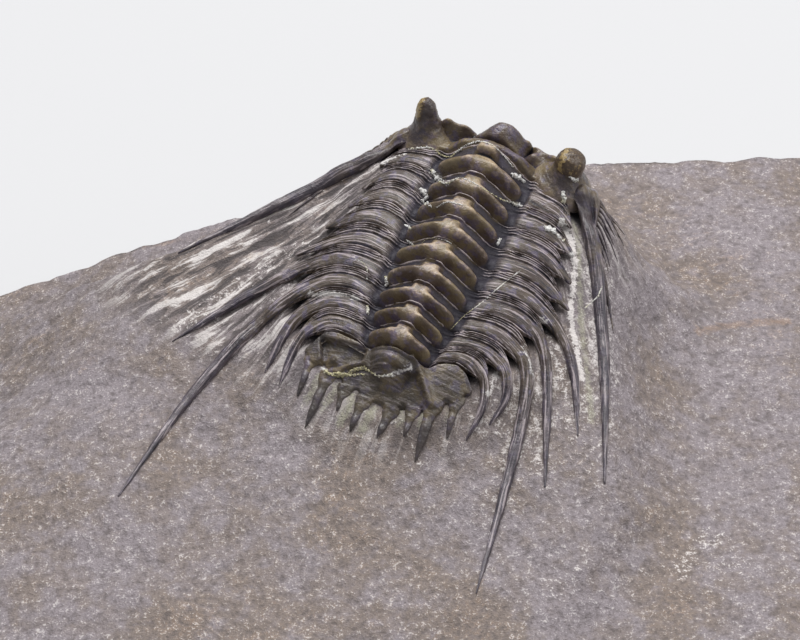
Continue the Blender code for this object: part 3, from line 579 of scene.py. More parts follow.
def shell_material(name, settings, rubbing_and_highlight_strength=0.78, shade=0.0, dark=SHADE):
    """Dark, faintly glossy shell with lengthwise streaks, rubbed crests and pale dust; painted highlights on
    crests, ring tops and eyes, a painted purple sheen, and painted shade in hollows and drops.
    """
    paint = Paint(name)
    place = paint.body()
    rib, spine, deep = paint.mark("rib"), paint.mark("spine"), paint.mark("deep")
    mottle = paint.noise(place, SHELL_MOTTLE, 4.0)
    cloud = paint.noise(place, SHELL_CLOUD, 4.0)
    fine = paint.noise(place, SHELL_GRAIN, 3.0, 0.6)
    streak = paint.noise(paint.lay("lay", *SHELL_STREAKS), 1.0, 4.0, 0.62, 0.3)

    colour = paint.mix(paint.step(mottle, 0.4, 0.6), settings.olive, settings.umber)
    tone = paint.mix(paint.step(cloud, 0.45, 0.6), RIB_DARK, RIB_OLIVE)
    colour = paint.mix(rib * 0.75, colour, tone)
    # Painted sheen: purple patches laid on by cloud noise
    colour = paint.mix(paint.step(cloud, 0.48, 0.62) * 0.75, colour, settings.purple_sheen)
    colour = paint.mix(spine * 0.75, colour, SPINE_TINT)
    colour = paint.mix(paint.step(mottle, 0.3, 0.6) * shade, colour, dark)

    # Partly rubbed and partly painted highlight: crests and ring tops are lightened towards the rubbed colour
    rubbed_and_highlight_level = paint.mark("crest") + paint.mark("rubbed_and_highlight") * 0.75
    rubbed_and_highlight_share = paint.step(rubbed_and_highlight_level + (cloud - 0.5) * 1.7 + (fine - 0.5) * 1.0, 0.22, 0.95)
    colour = paint.mix(rubbed_and_highlight_share * (rubbing_and_highlight_strength - spine * 0.3 - rib * 0.4), colour, settings.rubbed_and_highlight)
    colour = paint.mix(paint.step(streak, 0.53, 0.6) * rib * 0.62, colour, settings.line)
    dark_streak = 1.0 - paint.step(streak, 0.36, 0.47)
    # Dark lengthwise streaks on the ribs take the near-black furrow colour
    colour = paint.mix(dark_streak * (rib * 0.85 + spine * 0.1), colour, settings.furrow_shade)
    # Painted shade: hollows darkened to the near-black furrow colour
    colour = paint.mix(paint.step(paint.mark("hollow"), 0.06, 0.62), colour, settings.furrow_shade)
    # Painted shade: drops in front of the side lobes, feet of rings and ribs, and the sunken tail go near
    # black
    colour = paint.mix(deep * 0.88, colour, DROP_SHADE)
    line = paint.step(paint.mark("line") + (cloud - 0.5) * 1.6 + (fine - 0.5) * 0.6, 0.5, 0.85)
    colour = paint.mix(line * 0.85, colour, settings.line)

    eye = paint.mark("eye")
    # Golden facets where the eye mark is highest; on the right eye that is a painted highlight crescent
    gold = paint.step(eye + (fine - 0.5) * 1.6 + (cloud - 0.5) * 0.8, 0.68, 0.95)
    facets = paint.mix(gold, FACET_BROWN, settings.eye)
    colour = paint.mix(paint.step(eye + (fine - 0.5) * 0.6, 0.15, 0.5) * 0.92, colour, facets)
    grit = (fine - 0.5) * 1.3 + (cloud - 0.5) * 1.2 + (streak - 0.5) * rib
    dust = paint.step(paint.mark("calcite") + grit, 0.35, 0.7)
    colour = paint.mix(dust * 0.9, colour, SHELL_DUST)

    inputs = paint.shader.inputs
    paint.feed(inputs["Base Color"], colour)
    paint.feed(inputs["Roughness"], settings.roughness + (fine - 0.5) * 0.5 + dust * 0.4 + deep * 0.3)
    height = fine * 0.8 + cloud * 0.7 + streak * rib * 1.4
    paint.feed(inputs["Normal"], paint.bump(height, 0.8, settings.relief))
    paint.feed(inputs["Coat Weight"], (1.0 - deep) * 0.16)
    inputs["Specular IOR Level"].default_value = 0.4
    inputs["Coat Roughness"].default_value = 0.28
    return paint.material


def rock_material(settings):
    """Grey mauve limestone with speckles, streaks, calcite and rusty stains, with painted shade in its
    hollows and inside the shell's outline.
    """
    paint = Paint("limestone")
    place = paint.body()
    near = paint.mark("near")
    patch = paint.noise(place, ROCK_PATCH, 5.0, 0.6)
    cloud = paint.noise(place, ROCK_CLOUD, 5.0, 0.65)
    speckle = paint.noise(place, ROCK_SPECKLE, 4.0, 0.7)
    grit = paint.noise(place, ROCK_GRIT, 3.0, 0.65)
    streak = paint.noise(paint.lay("flow", *ROCK_STREAKS), 1.0, 5.0, 0.68, 0.5)

    share = paint.step(patch * 0.55 + cloud * 0.45, 0.42, 0.58)
    colour = paint.mix(share, settings.mauve, settings.brown)
    colour = paint.mix(paint.step(cloud, 0.55, 0.72) * 0.4, colour, PALE_MAUVE)
    stain = paint.step(patch * 0.4 + speckle * 0.6, 0.54, 0.66)
    colour = paint.mix(stain * 0.35, colour, settings.ochre)
    colour = paint.mix((1.0 - paint.step(speckle, 0.34, 0.5)) * 0.6, colour, settings.dark)
    colour = paint.mix((1.0 - paint.step(grit, 0.34, 0.46)) * 0.4, colour, settings.dark)
    flecks = paint.step(speckle * 0.5 + grit * 0.5, 0.54, 0.63)
    colour = paint.mix(flecks * 0.62, colour, settings.calcite)

    colour = paint.mix(near * 0.4, colour, WASHED_BROWN)
    dark_streak = 1.0 - paint.step(streak, 0.44, 0.5)
    colour = paint.mix(dark_streak * near * 0.95, colour, STREAK_BROWN)
    colour = paint.mix(paint.step(streak, 0.53, 0.59) * near * 0.9, colour, settings.calcite)

    ochre = paint.step(paint.mark("ochre") + (streak - 0.5) + (speckle - 0.5), 0.3, 0.75)
    colour = paint.mix(ochre * 0.42, colour, settings.ochre)
    green = paint.step(paint.mark("green") + (speckle - 0.5) + (grit - 0.5) * 0.7, 0.3, 0.75)
    colour = paint.mix(green * 0.75, colour, settings.green)
    # Painted shade: hollows of the rock darkened
    colour = paint.mix(paint.step(paint.mark("hollow"), 0.1, 0.8) * 0.55, colour, settings.dark)
    scatter = (speckle - 0.5) * 1.5 + (grit - 0.5) * 1.2
    pale = paint.step(paint.mark("calcite") + scatter + (streak - 0.5) * near, 0.42, 0.7)
    colour = paint.mix(pale * 0.9, colour, settings.calcite)
    edge = paint.step(paint.mark("halo") + scatter + (cloud - 0.5), 0.4, 0.8)
    colour = paint.mix(edge * 0.7, colour, settings.calcite)
    # Painted shade: rock inside the shell's outline goes near black
    colour = paint.mix(paint.mark("deep"), colour, SHADE_UNDER_SHELL)

    inputs = paint.shader.inputs
    paint.feed(inputs["Base Color"], colour)
    paint.feed(inputs["Roughness"], 0.8 + (grit - 0.5) * 0.4)
    height = speckle * 1.2 + grit * 0.8 + cloud * 0.6 + streak * near * 1.5
    paint.feed(inputs["Normal"], paint.bump(height, 0.9, settings.grain))
    return paint.material


def crust_material(settings):
    """Whitish sugary calcite with yellow and grey grains."""
    paint = Paint("calcite_crust")
    place = paint.body()
    grain = paint.noise(place, CRUST_GRAIN, 3.0, 0.6)
    tint = paint.noise(place, CRUST_TINT, 3.0)
    colour = paint.mix(paint.step(tint, 0.46, 0.6), CRUST_WHITE, CRUST_YELLOW)
    colour = paint.mix(1.0 - paint.step(grain, 0.36, 0.52), colour, CRUST_PIT)
    inputs = paint.shader.inputs
    paint.feed(inputs["Base Color"], colour)
    paint.feed(inputs["Roughness"], 0.45 + (grain - 0.5) * 0.5)
    paint.feed(inputs["Normal"], paint.bump(grain, 0.9, settings.grain))
    return paint.material


def floor_material(settings):
    """Matt pale floor, very faintly clouded."""
    paint = Paint("pale_floor")
    cloud = paint.noise(paint.body(1.0), 3.0, 2.0)
    paint.feed(paint.shader.inputs["Base Color"], paint.mix(cloud * 0.1, settings.floor, FLOOR_CLOUD))
    paint.shader.inputs["Roughness"].default_value = 0.7
    return paint.material


def dome(x, y):
    """Height of the low dome that the whole animal follows."""
    half = np.where(np.asarray(y) > DOME_MIDDLE_Y, DOME_FRONT, DOME_BACK)
    across = np.abs(np.asarray(x) / DOME_HALF_WIDTH) ** DOME_SHAPE
    along = np.abs((np.asarray(y) - DOME_MIDDLE_Y) / half) ** DOME_SHAPE
    reach = (across + along) ** (DOME_STEEPNESS / DOME_SHAPE)
    bent = HEAD_BEND * np.logaddexp(0.0, (np.asarray(y) - HEAD_HINGE) / HEAD_BEND)
    return DOME_TOP - DOME_DROP * reach / (reach + DOME_SHOULDER) - HEAD_FALL * bent


def on_dome(plan, lift=0.0):
    """Plan points, raised onto the dome."""
    plan = np.asarray(plan, dtype=float)
    return np.concatenate((plan, (dome(plan[..., 0], plan[..., 1]) + lift)[..., None]), axis=-1)


def curve(points, places):
    """Points of a smooth curve through the given ones; place 1.5 is between the second and third."""
    points = np.asarray(points, dtype=float)
    last = len(points) - 1
    run = np.vstack((2.0 * points[0] - points[1], points, 2.0 * points[-1] - points[-2]))
    places = np.clip(np.asarray(places, dtype=float), 0.0, last)
    index = np.minimum(places.astype(int), last - 1)
    u = (places - index)[:, None]
    before, start, end, after = (run[index + k] for k in range(4))
    return 0.5 * (
        2.0 * start
        + (end - before) * u
        + (2.0 * before - 5.0 * start + 4.0 * end - after) * u ** 2
        + (3.0 * start - before - 3.0 * end + after) * u ** 3
    )


def path_length(points):
    return sum(math.dist(a, b) for a, b in zip(points, points[1:]))


def run_along(line):
    """Length along a line of points, from its start to each of them."""
    return np.concatenate(((0.0,), np.cumsum(np.linalg.norm(np.diff(line, axis=0), axis=1))))


def unit(vectors):
    """Vectors scaled to length 1."""
    length = np.linalg.norm(vectors, axis=-1, keepdims=True)
    return vectors / np.maximum(length, 1e-9)


def smooth_step(value, low, high):
    """Smooth rise from 0 at low to 1 at high."""
    share = np.clip((value - low) / (high - low), 0.0, 1.0)
    return share * share * (3.0 - 2.0 * share)


def bell(value, centre, width):
    """Rounded bar of height 1 around a centre."""
    return np.exp(-(((value - centre) / width) ** 2))


def softened(rows, rounds):
    """Rows averaged with their neighbours, the first and last left in place."""
    rows = np.array(rows, dtype=float)
    for _ in range(rounds):
        rows[1:-1] = 0.25 * rows[:-2] + 0.5 * rows[1:-1] + 0.25 * rows[2:]
    return rows


def knob(x, y, centre, width, length, height):
    """Rounded hill around one point."""
    reach = ((x - centre[0]) / width) ** 2 + ((y - centre[1]) / length) ** 2
    return height * np.exp(-1.6 * reach)


def ridge(x, y, start, end, width, height):
    """Low rounded ridge from one plan point to another."""
    return height * bell(path_distance(x, y, np.array((start, end))), 0.0, width)


def read_points(mesh):
    points = np.empty(len(mesh.vertices) * 3)
    mesh.vertices.foreach_get("co", points)
    return points.reshape(-1, 3)


def write_points(mesh, points):
    mesh.vertices.foreach_set("co", np.ascontiguousarray(points, dtype=float).ravel())
    mesh.update()


def read_mark(mesh, name):
    values = np.empty(len(mesh.vertices))
    mesh.attributes[name].data.foreach_get("value", values)
    return values


def write_mark(mesh, name, values):
    mark = mesh.attributes.get(name) or mesh.attributes.new(name, "FLOAT", "POINT")
    mark.data.foreach_set("value", np.ascontiguousarray(values, dtype=float))


def take(piece):
    """Make one object the only one selected, and active."""
    bpy.ops.object.select_all(action="DESELECT")
    piece.select_set(True)
    bpy.context.view_layer.objects.active = piece


def write_lay(mesh, name, places):
    """Give each vertex its place in a flat measure of the piece's own."""
    corner = np.empty(len(mesh.loops), dtype=int)
    mesh.loops.foreach_get("vertex_index", corner)
    layer = mesh.uv_layers[0] if mesh.uv_layers else mesh.uv_layers.new()
    layer.name = name
    layer.data.foreach_set("uv", np.ascontiguousarray(places[corner]).ravel())


def bent_sheet(name, places, lay=None, lay_name="lay", marks=None):
    """Grid primitive bent to an array of places, columns by rows."""
    columns, rows = places.shape[0] - 1, places.shape[1] - 1
    bpy.ops.object.select_all(action="DESELECT")
    bpy.ops.mesh.primitive_grid_add(x_subdivisions=columns, y_subdivisions=rows, size=2.0)
    piece = bpy.context.object
    piece.name = name
    mesh = piece.data
    mesh.name = name
    flat = read_points(mesh)
    i = np.rint((flat[:, 0] + 1.0) * 0.5 * columns).astype(int)
    j = np.rint((flat[:, 1] + 1.0) * 0.5 * rows).astype(int)
    write_points(mesh, places[i, j])
    for mark, values in (marks or {}).items():
        write_mark(mesh, mark, values[i, j])
    if lay is not None:
        write_lay(mesh, lay_name, lay[i, j])
    return piece


def swept(middle, front, back, up, across, height):
    """Places of sections set across a line of stations, each closed all round."""
    edge = np.where(across[None, :, None] < 0.0, front[:, None], back[:, None])
    places = middle[:, None] + edge * np.abs(across)[None, :, None] + up[:, None] * height[:, :, None]
    places[:, -1] = places[:, 0]
    return places


def close_tube(piece):
    """Join the long seam of a bent sheet and cap its two ends."""
    take(piece)
    bpy.ops.object.mode_set(mode="EDIT")
    bpy.ops.mesh.select_all(action="SELECT")
    bpy.ops.mesh.remove_doubles(threshold=0.00005)
    bpy.ops.mesh.fill_holes(sides=0)
    bpy.ops.mesh.select_all(action="SELECT")
    bpy.ops.mesh.normals_make_consistent(inside=False)
    bpy.ops.object.mode_set(mode="OBJECT")


def apply_modifier(piece, kind, **settings):
    """Add a modifier to a piece, set it and apply it."""
    take(piece)
    bpy.ops.object.modifier_add(type=kind)
    modifier = piece.modifiers[-1]
    for key, value in settings.items():
        setattr(modifier, key, value)
    bpy.ops.object.modifier_apply(modifier=modifier.name)


def roughen(piece, *layers, group="", lay=""):
    """Raise and sink the surface by cloudy patterns, each with its size and strength in millimetres."""
    for size, strength in layers:
        texture = bpy.data.textures.new("unevenness", type="CLOUDS")
        texture.noise_scale = size
        texture.noise_depth = 2
        settings = {"texture": texture, "strength": strength, "mid_level": 0.5, "vertex_group": group}
        if lay:
            settings["texture_coords"] = "UV"
            settings["uv_layer"] = lay
        apply_modifier(piece, "DISPLACE", **settings)
        bpy.data.textures.remove(texture)


def join(pieces):
    """Join pieces into the first one."""
    take(pieces[0])
    for piece in pieces[1:]:
        piece.select_set(True)
    bpy.ops.object.join()
    return bpy.context.object


def mark_hollows(piece, rounds, full):
    """Mark hollows and crests by how far a point lies under or over its surroundings."""
    mesh = piece.data
    count = len(mesh.vertices)
    ends = np.empty(len(mesh.edges) * 2, dtype=int)
    mesh.edges.foreach_get("vertices", ends)
    ends = ends.reshape(-1, 2)
    normals = np.empty(count * 3)
    mesh.vertices.foreach_get("normal", normals)
    normals = normals.reshape(-1, 3)
    degree = np.maximum(np.bincount(ends.ravel(), minlength=count), 1).astype(float)
    points = read_points(mesh)
    spread = points.copy()
    over = np.zeros(count)
    for turn in range(1, 5 * rounds + 1):
        for axis in range(3):
            total = np.bincount(ends[:, 0], spread[ends[:, 1], axis], count)
            total += np.bincount(ends[:, 1], spread[ends[:, 0], axis], count)
            spread[:, axis] = total / degree
        if turn in (rounds, 5 * rounds):
            depth = full if turn == rounds else 2.5 * full
            over += 0.6 * np.clip(((points - spread) * normals).sum(axis=1) / depth, -1.0, 1.0)
    # The hollow mark is used for painted shade and the crest mark for a painted highlight with rubbing
    write_mark(mesh, "hollow", np.clip(-over, 0.0, 1.0))
    write_mark(mesh, "crest", np.clip(over, 0.0, 1.0))


def to_block(points):
    """Body millimetres to metres in the block's frame."""
    return (points @ TURN.T + SEAT) * MM


def finish_piece(piece, material, nodes, rounds=6, full=0.1, on_body=True):
    """Mark the relief, lay the mesh on the block and hand the piece to the frame."""
    mark_hollows(piece, rounds, full)
    points = read_points(piece.data)
    write_points(piece.data, to_block(points) if on_body else points * MM)
    take(piece)
    bpy.ops.object.shade_smooth()
    piece.data.materials.clear()
    piece.data.materials.append(material)
    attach(piece, "root")
    if nodes:
        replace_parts(piece, *nodes)


def surface_tree(pieces):
    """Search tree over the surfaces of finished pieces, in block millimetres."""
    points = []
    faces = []
    for piece in pieces:
        start = len(points)
        points.extend(map(tuple, read_points(piece.data) / MM))
        faces.extend([start + k for k in face.vertices] for face in piece.data.polygons)
    return BVHTree.FromPolygons(points, faces)


def rock_tree():
    """Search tree over the finished block, which the spines come to rest on."""
    return surface_tree([bpy.data.objects["limestone_block"]])


def seen_point(tree, pixel):
    """Place on the surface that the photograph shows at a pixel, in block millimetres."""
    focal = VIEW_LENS / VIEW_SENSOR * VIEW_PIXELS[0]
    across = (pixel[0] - 0.5 * VIEW_PIXELS[0]) / focal
    above = (0.5 * VIEW_PIXELS[1] - pixel[1]) / focal
    up = Vector((0.0, math.sin(VIEW_DOWN), math.cos(VIEW_DOWN)))
    ahead = Vector((0.0, math.cos(VIEW_DOWN), -math.sin(VIEW_DOWN)))
    ray = (Vector((across, 0.0, 0.0)) + up * above + ahead).normalized()
    return tree.ray_cast(VIEW_PLACE / MM, ray)[:2]


def seen_path(tree, pixels, spacing=2.5):
    """Close points along a line of the photograph, on the surface, with their normals."""
    steps = max(2, round(path_length(pixels) / spacing))
    spots = curve(pixels, np.linspace(0.0, len(pixels) - 1, steps + 1))
    hits = [seen_point(tree, spot) for spot in spots]
    return [(place, normal) for place, normal in hits if place is not None]


def rib_plan(index, side):
    """Plan points of a rib, from the foot of its ring outwards."""
    ribs = RIGHT_RIBS if side > 0 else LEFT_RIBS
    foot = (RING_HALF_WIDTH[index] + RIB_FOOT[0], RING_Y[index] + RIB_FOOT[1])
    return (foot,) + ribs[index]


def rib_seam(index, side, places):
    """Plan points of the seam in front of a rib, on its own side."""
    if index == 0:
        return curve(FRONT_SEAM[1:], places)
    if index == len(RING_Y):
        return curve((RIGHT_BACK_SEAM if side > 0 else LEFT_BACK_SEAM)[1:], places)
    return 0.5 * (curve(rib_plan(index - 1, side), places) + curve(rib_plan(index, side), places))


def arch_station(index, share):
    """Points over the middle of a ring, for shares from -1 at its left foot to 1 at its right."""
    y = RING_Y[index] + RING_BOW * (1.0 - share ** 2)
    x = RING_HALF_WIDTH[index] * share
    rise = RING_HEIGHT[index] * (1.0 - np.abs(share) ** ARCH_SHAPE)
    return np.stack((x, y, dome(x, y) + rise), axis=-1)


def arch_seam(index, share):
    """Seam in front of a ring, on the arch."""
    if index == 0:
        middle = arch_station(0, share)
        middle[:, 1] = FRONT_SEAM[0][1] - (FRONT_SEAM[0][1] - FRONT_SEAM[1][1]) * share ** 2
        return middle
    if index == len(RING_Y):
        middle = arch_station(index - 1, share)
        middle[:, 1] = RIGHT_BACK_SEAM[0][1]
        return middle
    return 0.5 * (arch_station(index - 1, share) + arch_station(index, share))


def reached(offset, extra):
    """Edge offset made longer by a length."""
    return offset + unit(offset) * extra


def settle(middle, size, rock, share):
    """Move a spine's line so that it lies half sunk in the rock, as far as the share says."""
    down = Vector(-TURN[:, 2])
    levels = []
    for x, y, z in middle:
        above = np.array((x, y, 8.0)) @ TURN.T + SEAT
        hit = rock.ray_cast(Vector(above), down)[0]
        levels.append(z if hit is None else ((np.array(hit) - SEAT) @ TURN)[2])
    level = softened(np.array(levels)[:, None], 10)[:, 0]
    middle[:, 2] += share * (level + 0.2 * size + 0.03 - middle[:, 2])


def spine_course(middle, side, first_free, radius):
    """Directions, run, free share and radius along a line of stations that ends in a spine."""
    heading = unit(np.gradient(middle, axis=0)) * side
    back_way = unit(np.cross(heading, (0.0, 0.0, 1.0)))
    run = run_along(middle)
    start = run[first_free]
    free = np.clip((run - start) / max(run[-1] - start, 1e-6), 0.0, 1.0)
    size = TIP_RADIUS + (radius - TIP_RADIUS) * (1.0 - free ** SPINE_TAPER)
    return heading, back_way, run, free, size


def upright(heading, back_way, round_share):
    """Direction of a section's height: straight up on the plate, square to the spine beyond it."""
    return unit((1.0 - round_share) * np.array((0.0, 0.0, 1.0)) + round_share * np.cross(back_way, heading))


def side_course(index, side, rock):
    """Stations of one rib and its spine, from the furrow to the tip."""
    plan = np.array(rib_plan(index, side))
    last = len(plan) - 1
    stub = last == 3
    radius = STUB_RADIUS if stub else SPINE_RADIUS[index]
    places = np.linspace(0.0, 3.0, RIB_STATIONS)
    if not stub:
        steps = round(path_length(plan[3:]) / STATION_SPACING)
        places = np.concatenate((places, np.linspace(3.0, last, steps + 1)[1:]))
    mirror = np.array((side, 1.0))
    middle = on_dome(curve(plan, places) * mirror)
    heading, back_way, run, free, size = spine_course(middle, side, RIB_STATIONS - 1, radius)
    if stub:
        size = np.full_like(run, radius)
    round_share = smooth_step(places, 1.9, 3.0)[:, None]
    rib_places = np.minimum(places, 3.0)
    front = on_dome(rib_seam(index, side, rib_places) * mirror) - middle
    back = on_dome(rib_seam(index + 1, side, rib_places) * mirror) - middle
    foot = (1.0 - smooth_step(places, 0.15, 0.6))[:, None]
    front = (1.0 - round_share) * reached(front, 0.02 + 0.22 * foot) - round_share * back_way * size[:, None]
    back = (1.0 - round_share) * reached(back, 0.12 * foot) + round_share * back_way * size[:, None]
    up = upright(heading, back_way, round_share)
    middle[:, 2] -= FURROW_DEPTH * bell(places, 0.0, 0.16)
    if not stub:
        settle(middle, size, rock, smooth_step(places, 2.7, 3.5))
    tip = middle[-1] + side * heading[-1] * size[-1] * np.array((0.45, 0.8, 0.98))[:, None]
    shrink = np.array((0.86, 0.58, 0.2))
    course = {
        "middle": np.vstack((middle, tip)),
        "front": np.vstack((front, shrink[:, None] * front[-1])),
        "back": np.vstack((back, shrink[:, None] * back[-1])),
        "up": np.vstack((up, up[-1:], up[-1:], up[-1:])),
        "size": np.concatenate((size, size[-1] * shrink)),
        "spine": np.concatenate((round_share[:, 0], (1.0, 1.0, 1.0))),
        "free": np.concatenate((free, free[-1:], free[-1:], free[-1:])),
        "foot": np.concatenate((1.0 - smooth_step(places, 0.1, 0.35), (0.0, 0.0, 0.0))),
    }
    course["ring"] = np.zeros(len(course["size"]))
    course["share"] = np.full(len(course["size"]), side)
    return course


def arch_course(index):
    """Stations of the ring arch, from its left foot to its right foot."""
    share = np.linspace(-1.0, 1.0, ARCH_STATIONS)
    middle = arch_station(index, share)
    step = unit(np.gradient(middle, axis=0))
    up = np.stack((-step[:, 2], np.zeros(len(share)), step[:, 0]), axis=-1)
    foot = smooth_step(np.abs(share), 0.8, 0.97)[:, None]
    front = reached(arch_seam(index, share) - middle, 0.1 + 0.14 * foot)
    back = reached(arch_seam(index + 1, share) - middle, 0.05 + 0.07 * foot)
    return {
        "middle": middle, "front": front, "back": back, "up": up,
        "size": np.full(len(share), STUB_RADIUS), "spine": np.zeros(len(share)),
        "free": np.zeros(len(share)), "ring": np.ones(len(share)), "share": share,
        "foot": smooth_step(np.abs(share), 0.93, 1.0),
    }


def profile(points, across):
    """Height of a relief profile at places from -1 to 1."""
    fine = curve(points, np.linspace(0.0, len(points) - 1, 12 * len(points)))
    return np.interp(across, np.maximum.accumulate(fine[:, 0]), fine[:, 1])


def section_places():
    """Places across a section, over the top and back underneath, with the round section's heights."""
    share = np.linspace(-1.0, 1.0, TOP_STEPS + 1)
    top = 0.55 * share + 0.45 * np.sin(0.5 * math.pi * share)
    under = np.cos(math.pi * np.arange(1, UNDER_STEPS + 1) / UNDER_STEPS)
    across = np.concatenate((top, under))
    below = np.arange(len(across)) > TOP_STEPS
    roundness = np.sqrt(np.clip(1.0 - across ** 2, 0.0, None)) * np.where(below, -1.0, 1.0)
    return across, roundness, below


def segment_course(index, rock):
    """Stations of a whole segment, from the tip of its left rib to the tip of its right one."""
    left = side_course(index, -1.0, rock)
    arch = arch_course(index)
    right = side_course(index, 1.0, rock)
    course = {key: np.concatenate((left[key][::-1], arch[key], right[key])) for key in arch}
    for key in ("middle", "front", "back", "up", "ring", "foot"):
        course[key] = softened(course[key], 3)
    return course


def ring_relief(index, share, across):
    """Relief of a ring: smooth over the top, a thick rounded bar behind a drop at each side."""
    lobe = smooth_step(share, LOBE_START, LOBE_FULL)
    top = profile(FIRST_RING_TOP if index == 0 else RING_TOP, across)
    relief = (1.0 - lobe) * top + lobe * profile(RING_LOBE, across)
    relief = relief + knob(share, across, *SHOULDER_KNOB)
    ending = np.sqrt(1.0 - np.clip((share - LOBE_END) / (LOBE_CLOSED - LOBE_END), 0.0, 1.0) ** 2)
    return np.where(relief > -RING_DROP, (relief + RING_DROP) * ending - RING_DROP, relief)


def segment_marks(course, across, under):
    """Marks of a segment: its ribs, free spines, pale raised edges, a painted highlight on its top and
    painted shade in its drops.
    """
    ones = np.ones(len(across))
    ring = course["ring"][:, None]
    spine = course["spine"][:, None]
    share = course["share"][:, None]
    rib_line = sum(bell(across, place, 0.035) for place in RIB_LINES)
    ring_line = bell(across, RING_LINE, 0.06)
    # Painted shade: the drop in front of each side lobe and the feet at the furrow go near black
    drop = smooth_step(across, -0.9, -0.82) * smooth_step(-across, 0.2, 0.32)
    drop = ring * smooth_step(np.abs(share), 0.22, 0.42) * drop
    return {
        "rib": (1.0 - ring) * ones,
        "spine": smooth_step(course["free"][:, None], 0.0, 0.35) * ones,
        "line": ((1.0 - ring) * (1.0 - 0.8 * spine) * rib_line + ring * ring_line) * (~under),
        # Painted highlight, in the rubbed colour, on the top of each ring
        "rubbed_and_highlight": 0.75 * ring * bell(share, 0.12, 0.36) * bell(across, 0.0, 0.42),
        "deep": np.maximum(drop, 0.85 * course["foot"][:, None]),
    }


def make_segment(index, rock):
    """One ring with its ribs and free spines, as one closed shell."""
    course = segment_course(index, rock)
    across, roundness, under = section_places()
    ring = course["ring"][:, None]
    spine = course["spine"][:, None]
    size = course["size"][:, None]
    width = np.linalg.norm(course["back"] - course["front"], axis=1)[:, None]
    relief = ring_relief(index, np.abs(course["share"])[:, None], across)
    relief = np.where(under, -SHELL_THICKNESS - RING_DROP, relief)
    rib_relief = np.where(under, -SHELL_THICKNESS, profile(RIB_PROFILE, across))
    rib_height = rib_relief * np.clip(width / 1.3, 0.35, 1.0)
    flat = ring * relief + (1.0 - ring) * rib_height
    height = (1.0 - spine) * flat + spine * roundness * size
    height = height - 0.05 * bell(across, 0.15, 0.16) * (~under) * spine * size
    places = swept(course["middle"], course["front"], course["back"], course["up"], across, height)
    run = run_along(course["middle"])
    lay = np.stack(np.broadcast_arrays(run[:, None], across[None, :] * 0.5 * width + index * 7.3), axis=-1)
    marks = segment_marks(course, across, under)
    piece = bent_sheet(f"thorax_segment_{index + 1}", places, lay=lay, marks=marks)
    close_tube(piece)
    roughen(piece, (0.9, 0.09), (0.28, 0.035))
    return piece


def head_relief(x, y):
    """Surface of the cranidium over the body plane."""
    behind = smooth_step(NECK_FURROW_Y - y, -0.12, 0.12)
    neck = np.clip(1.0 - np.abs(x / NECK_RING_HALF_WIDTH) ** ARCH_SHAPE, 0.0, None)
    neck = neck * (NECK_RING_HEIGHT + NECK_RING_CROWN * bell(y, NECK_RING_Y, NECK_RING_LENGTH))
    aside = x - GLABELLA_SHIFT * smooth_step(y, 9.3, 10.6)
    half = GLABELLA_HALF_WIDTH - 0.1 * (y - NECK_FURROW_Y)
    climb = GLABELLA_HEIGHT + GLABELLA_SLOPE * np.clip(y - NECK_FURROW_Y, 0.0, GLABELLA_CLIMB_LENGTH)
    brow = BROW_FALL * np.clip(y - BROW_Y, 0.0, None) ** 2
    glabella = np.clip(1.0 - np.abs(aside / half) ** 2.5, 0.0, None) * (climb - np.minimum(brow, climb))
    height = dome(x, y) + behind * neck + (1.0 - behind) * glabella
    furrow = NECK_FURROW_DEPTH * bell(y, NECK_FURROW_Y, NECK_FURROW_LENGTH)
    height -= furrow * np.exp(-((x / 2.6) ** 4))
    for knob_shape in HEAD_KNOBS:
        height += knob(x, y, *knob_shape)
    for ridge_shape in HEAD_RIDGES:
        height += ridge(x, y, *ridge_shape)
    return height


def make_cranidium():
    """Middle of the head: glabella, neck ring and the fixed cheeks."""
    columns, rows = 170, 130
    share = np.linspace(-1.0, 1.0, columns + 1)[:, None]
    down = np.linspace(0.0, 1.0, rows + 1)[None, :]
    y = HEAD_BACK + (HEAD_FRONT - HEAD_BACK) * down + 0.0 * share
    half = np.interp(y, *zip(*HEAD_HALF_WIDTHS))
    x = half * share
    y = y + 0.45 * (1.0 - np.abs(share) ** 1.5) * np.clip(1.0 - 5.0 * down, 0.0, None)
    places = np.stack((x, y, head_relief(x, y)), axis=-1)
    roll = np.clip(1.0 - down / 0.09, 0.0, 1.0)
    places[:, :, 2] -= 0.55 * roll ** 2
    lay = np.stack((x, y), axis=-1)
    piece = bent_sheet("head_cranidium", places, lay=lay)
    apply_modifier(piece, "SOLIDIFY", thickness=PLATE_THICKNESS, offset=-1.0)
    roughen(piece, (0.8, 0.1), (0.25, 0.04))
    return piece


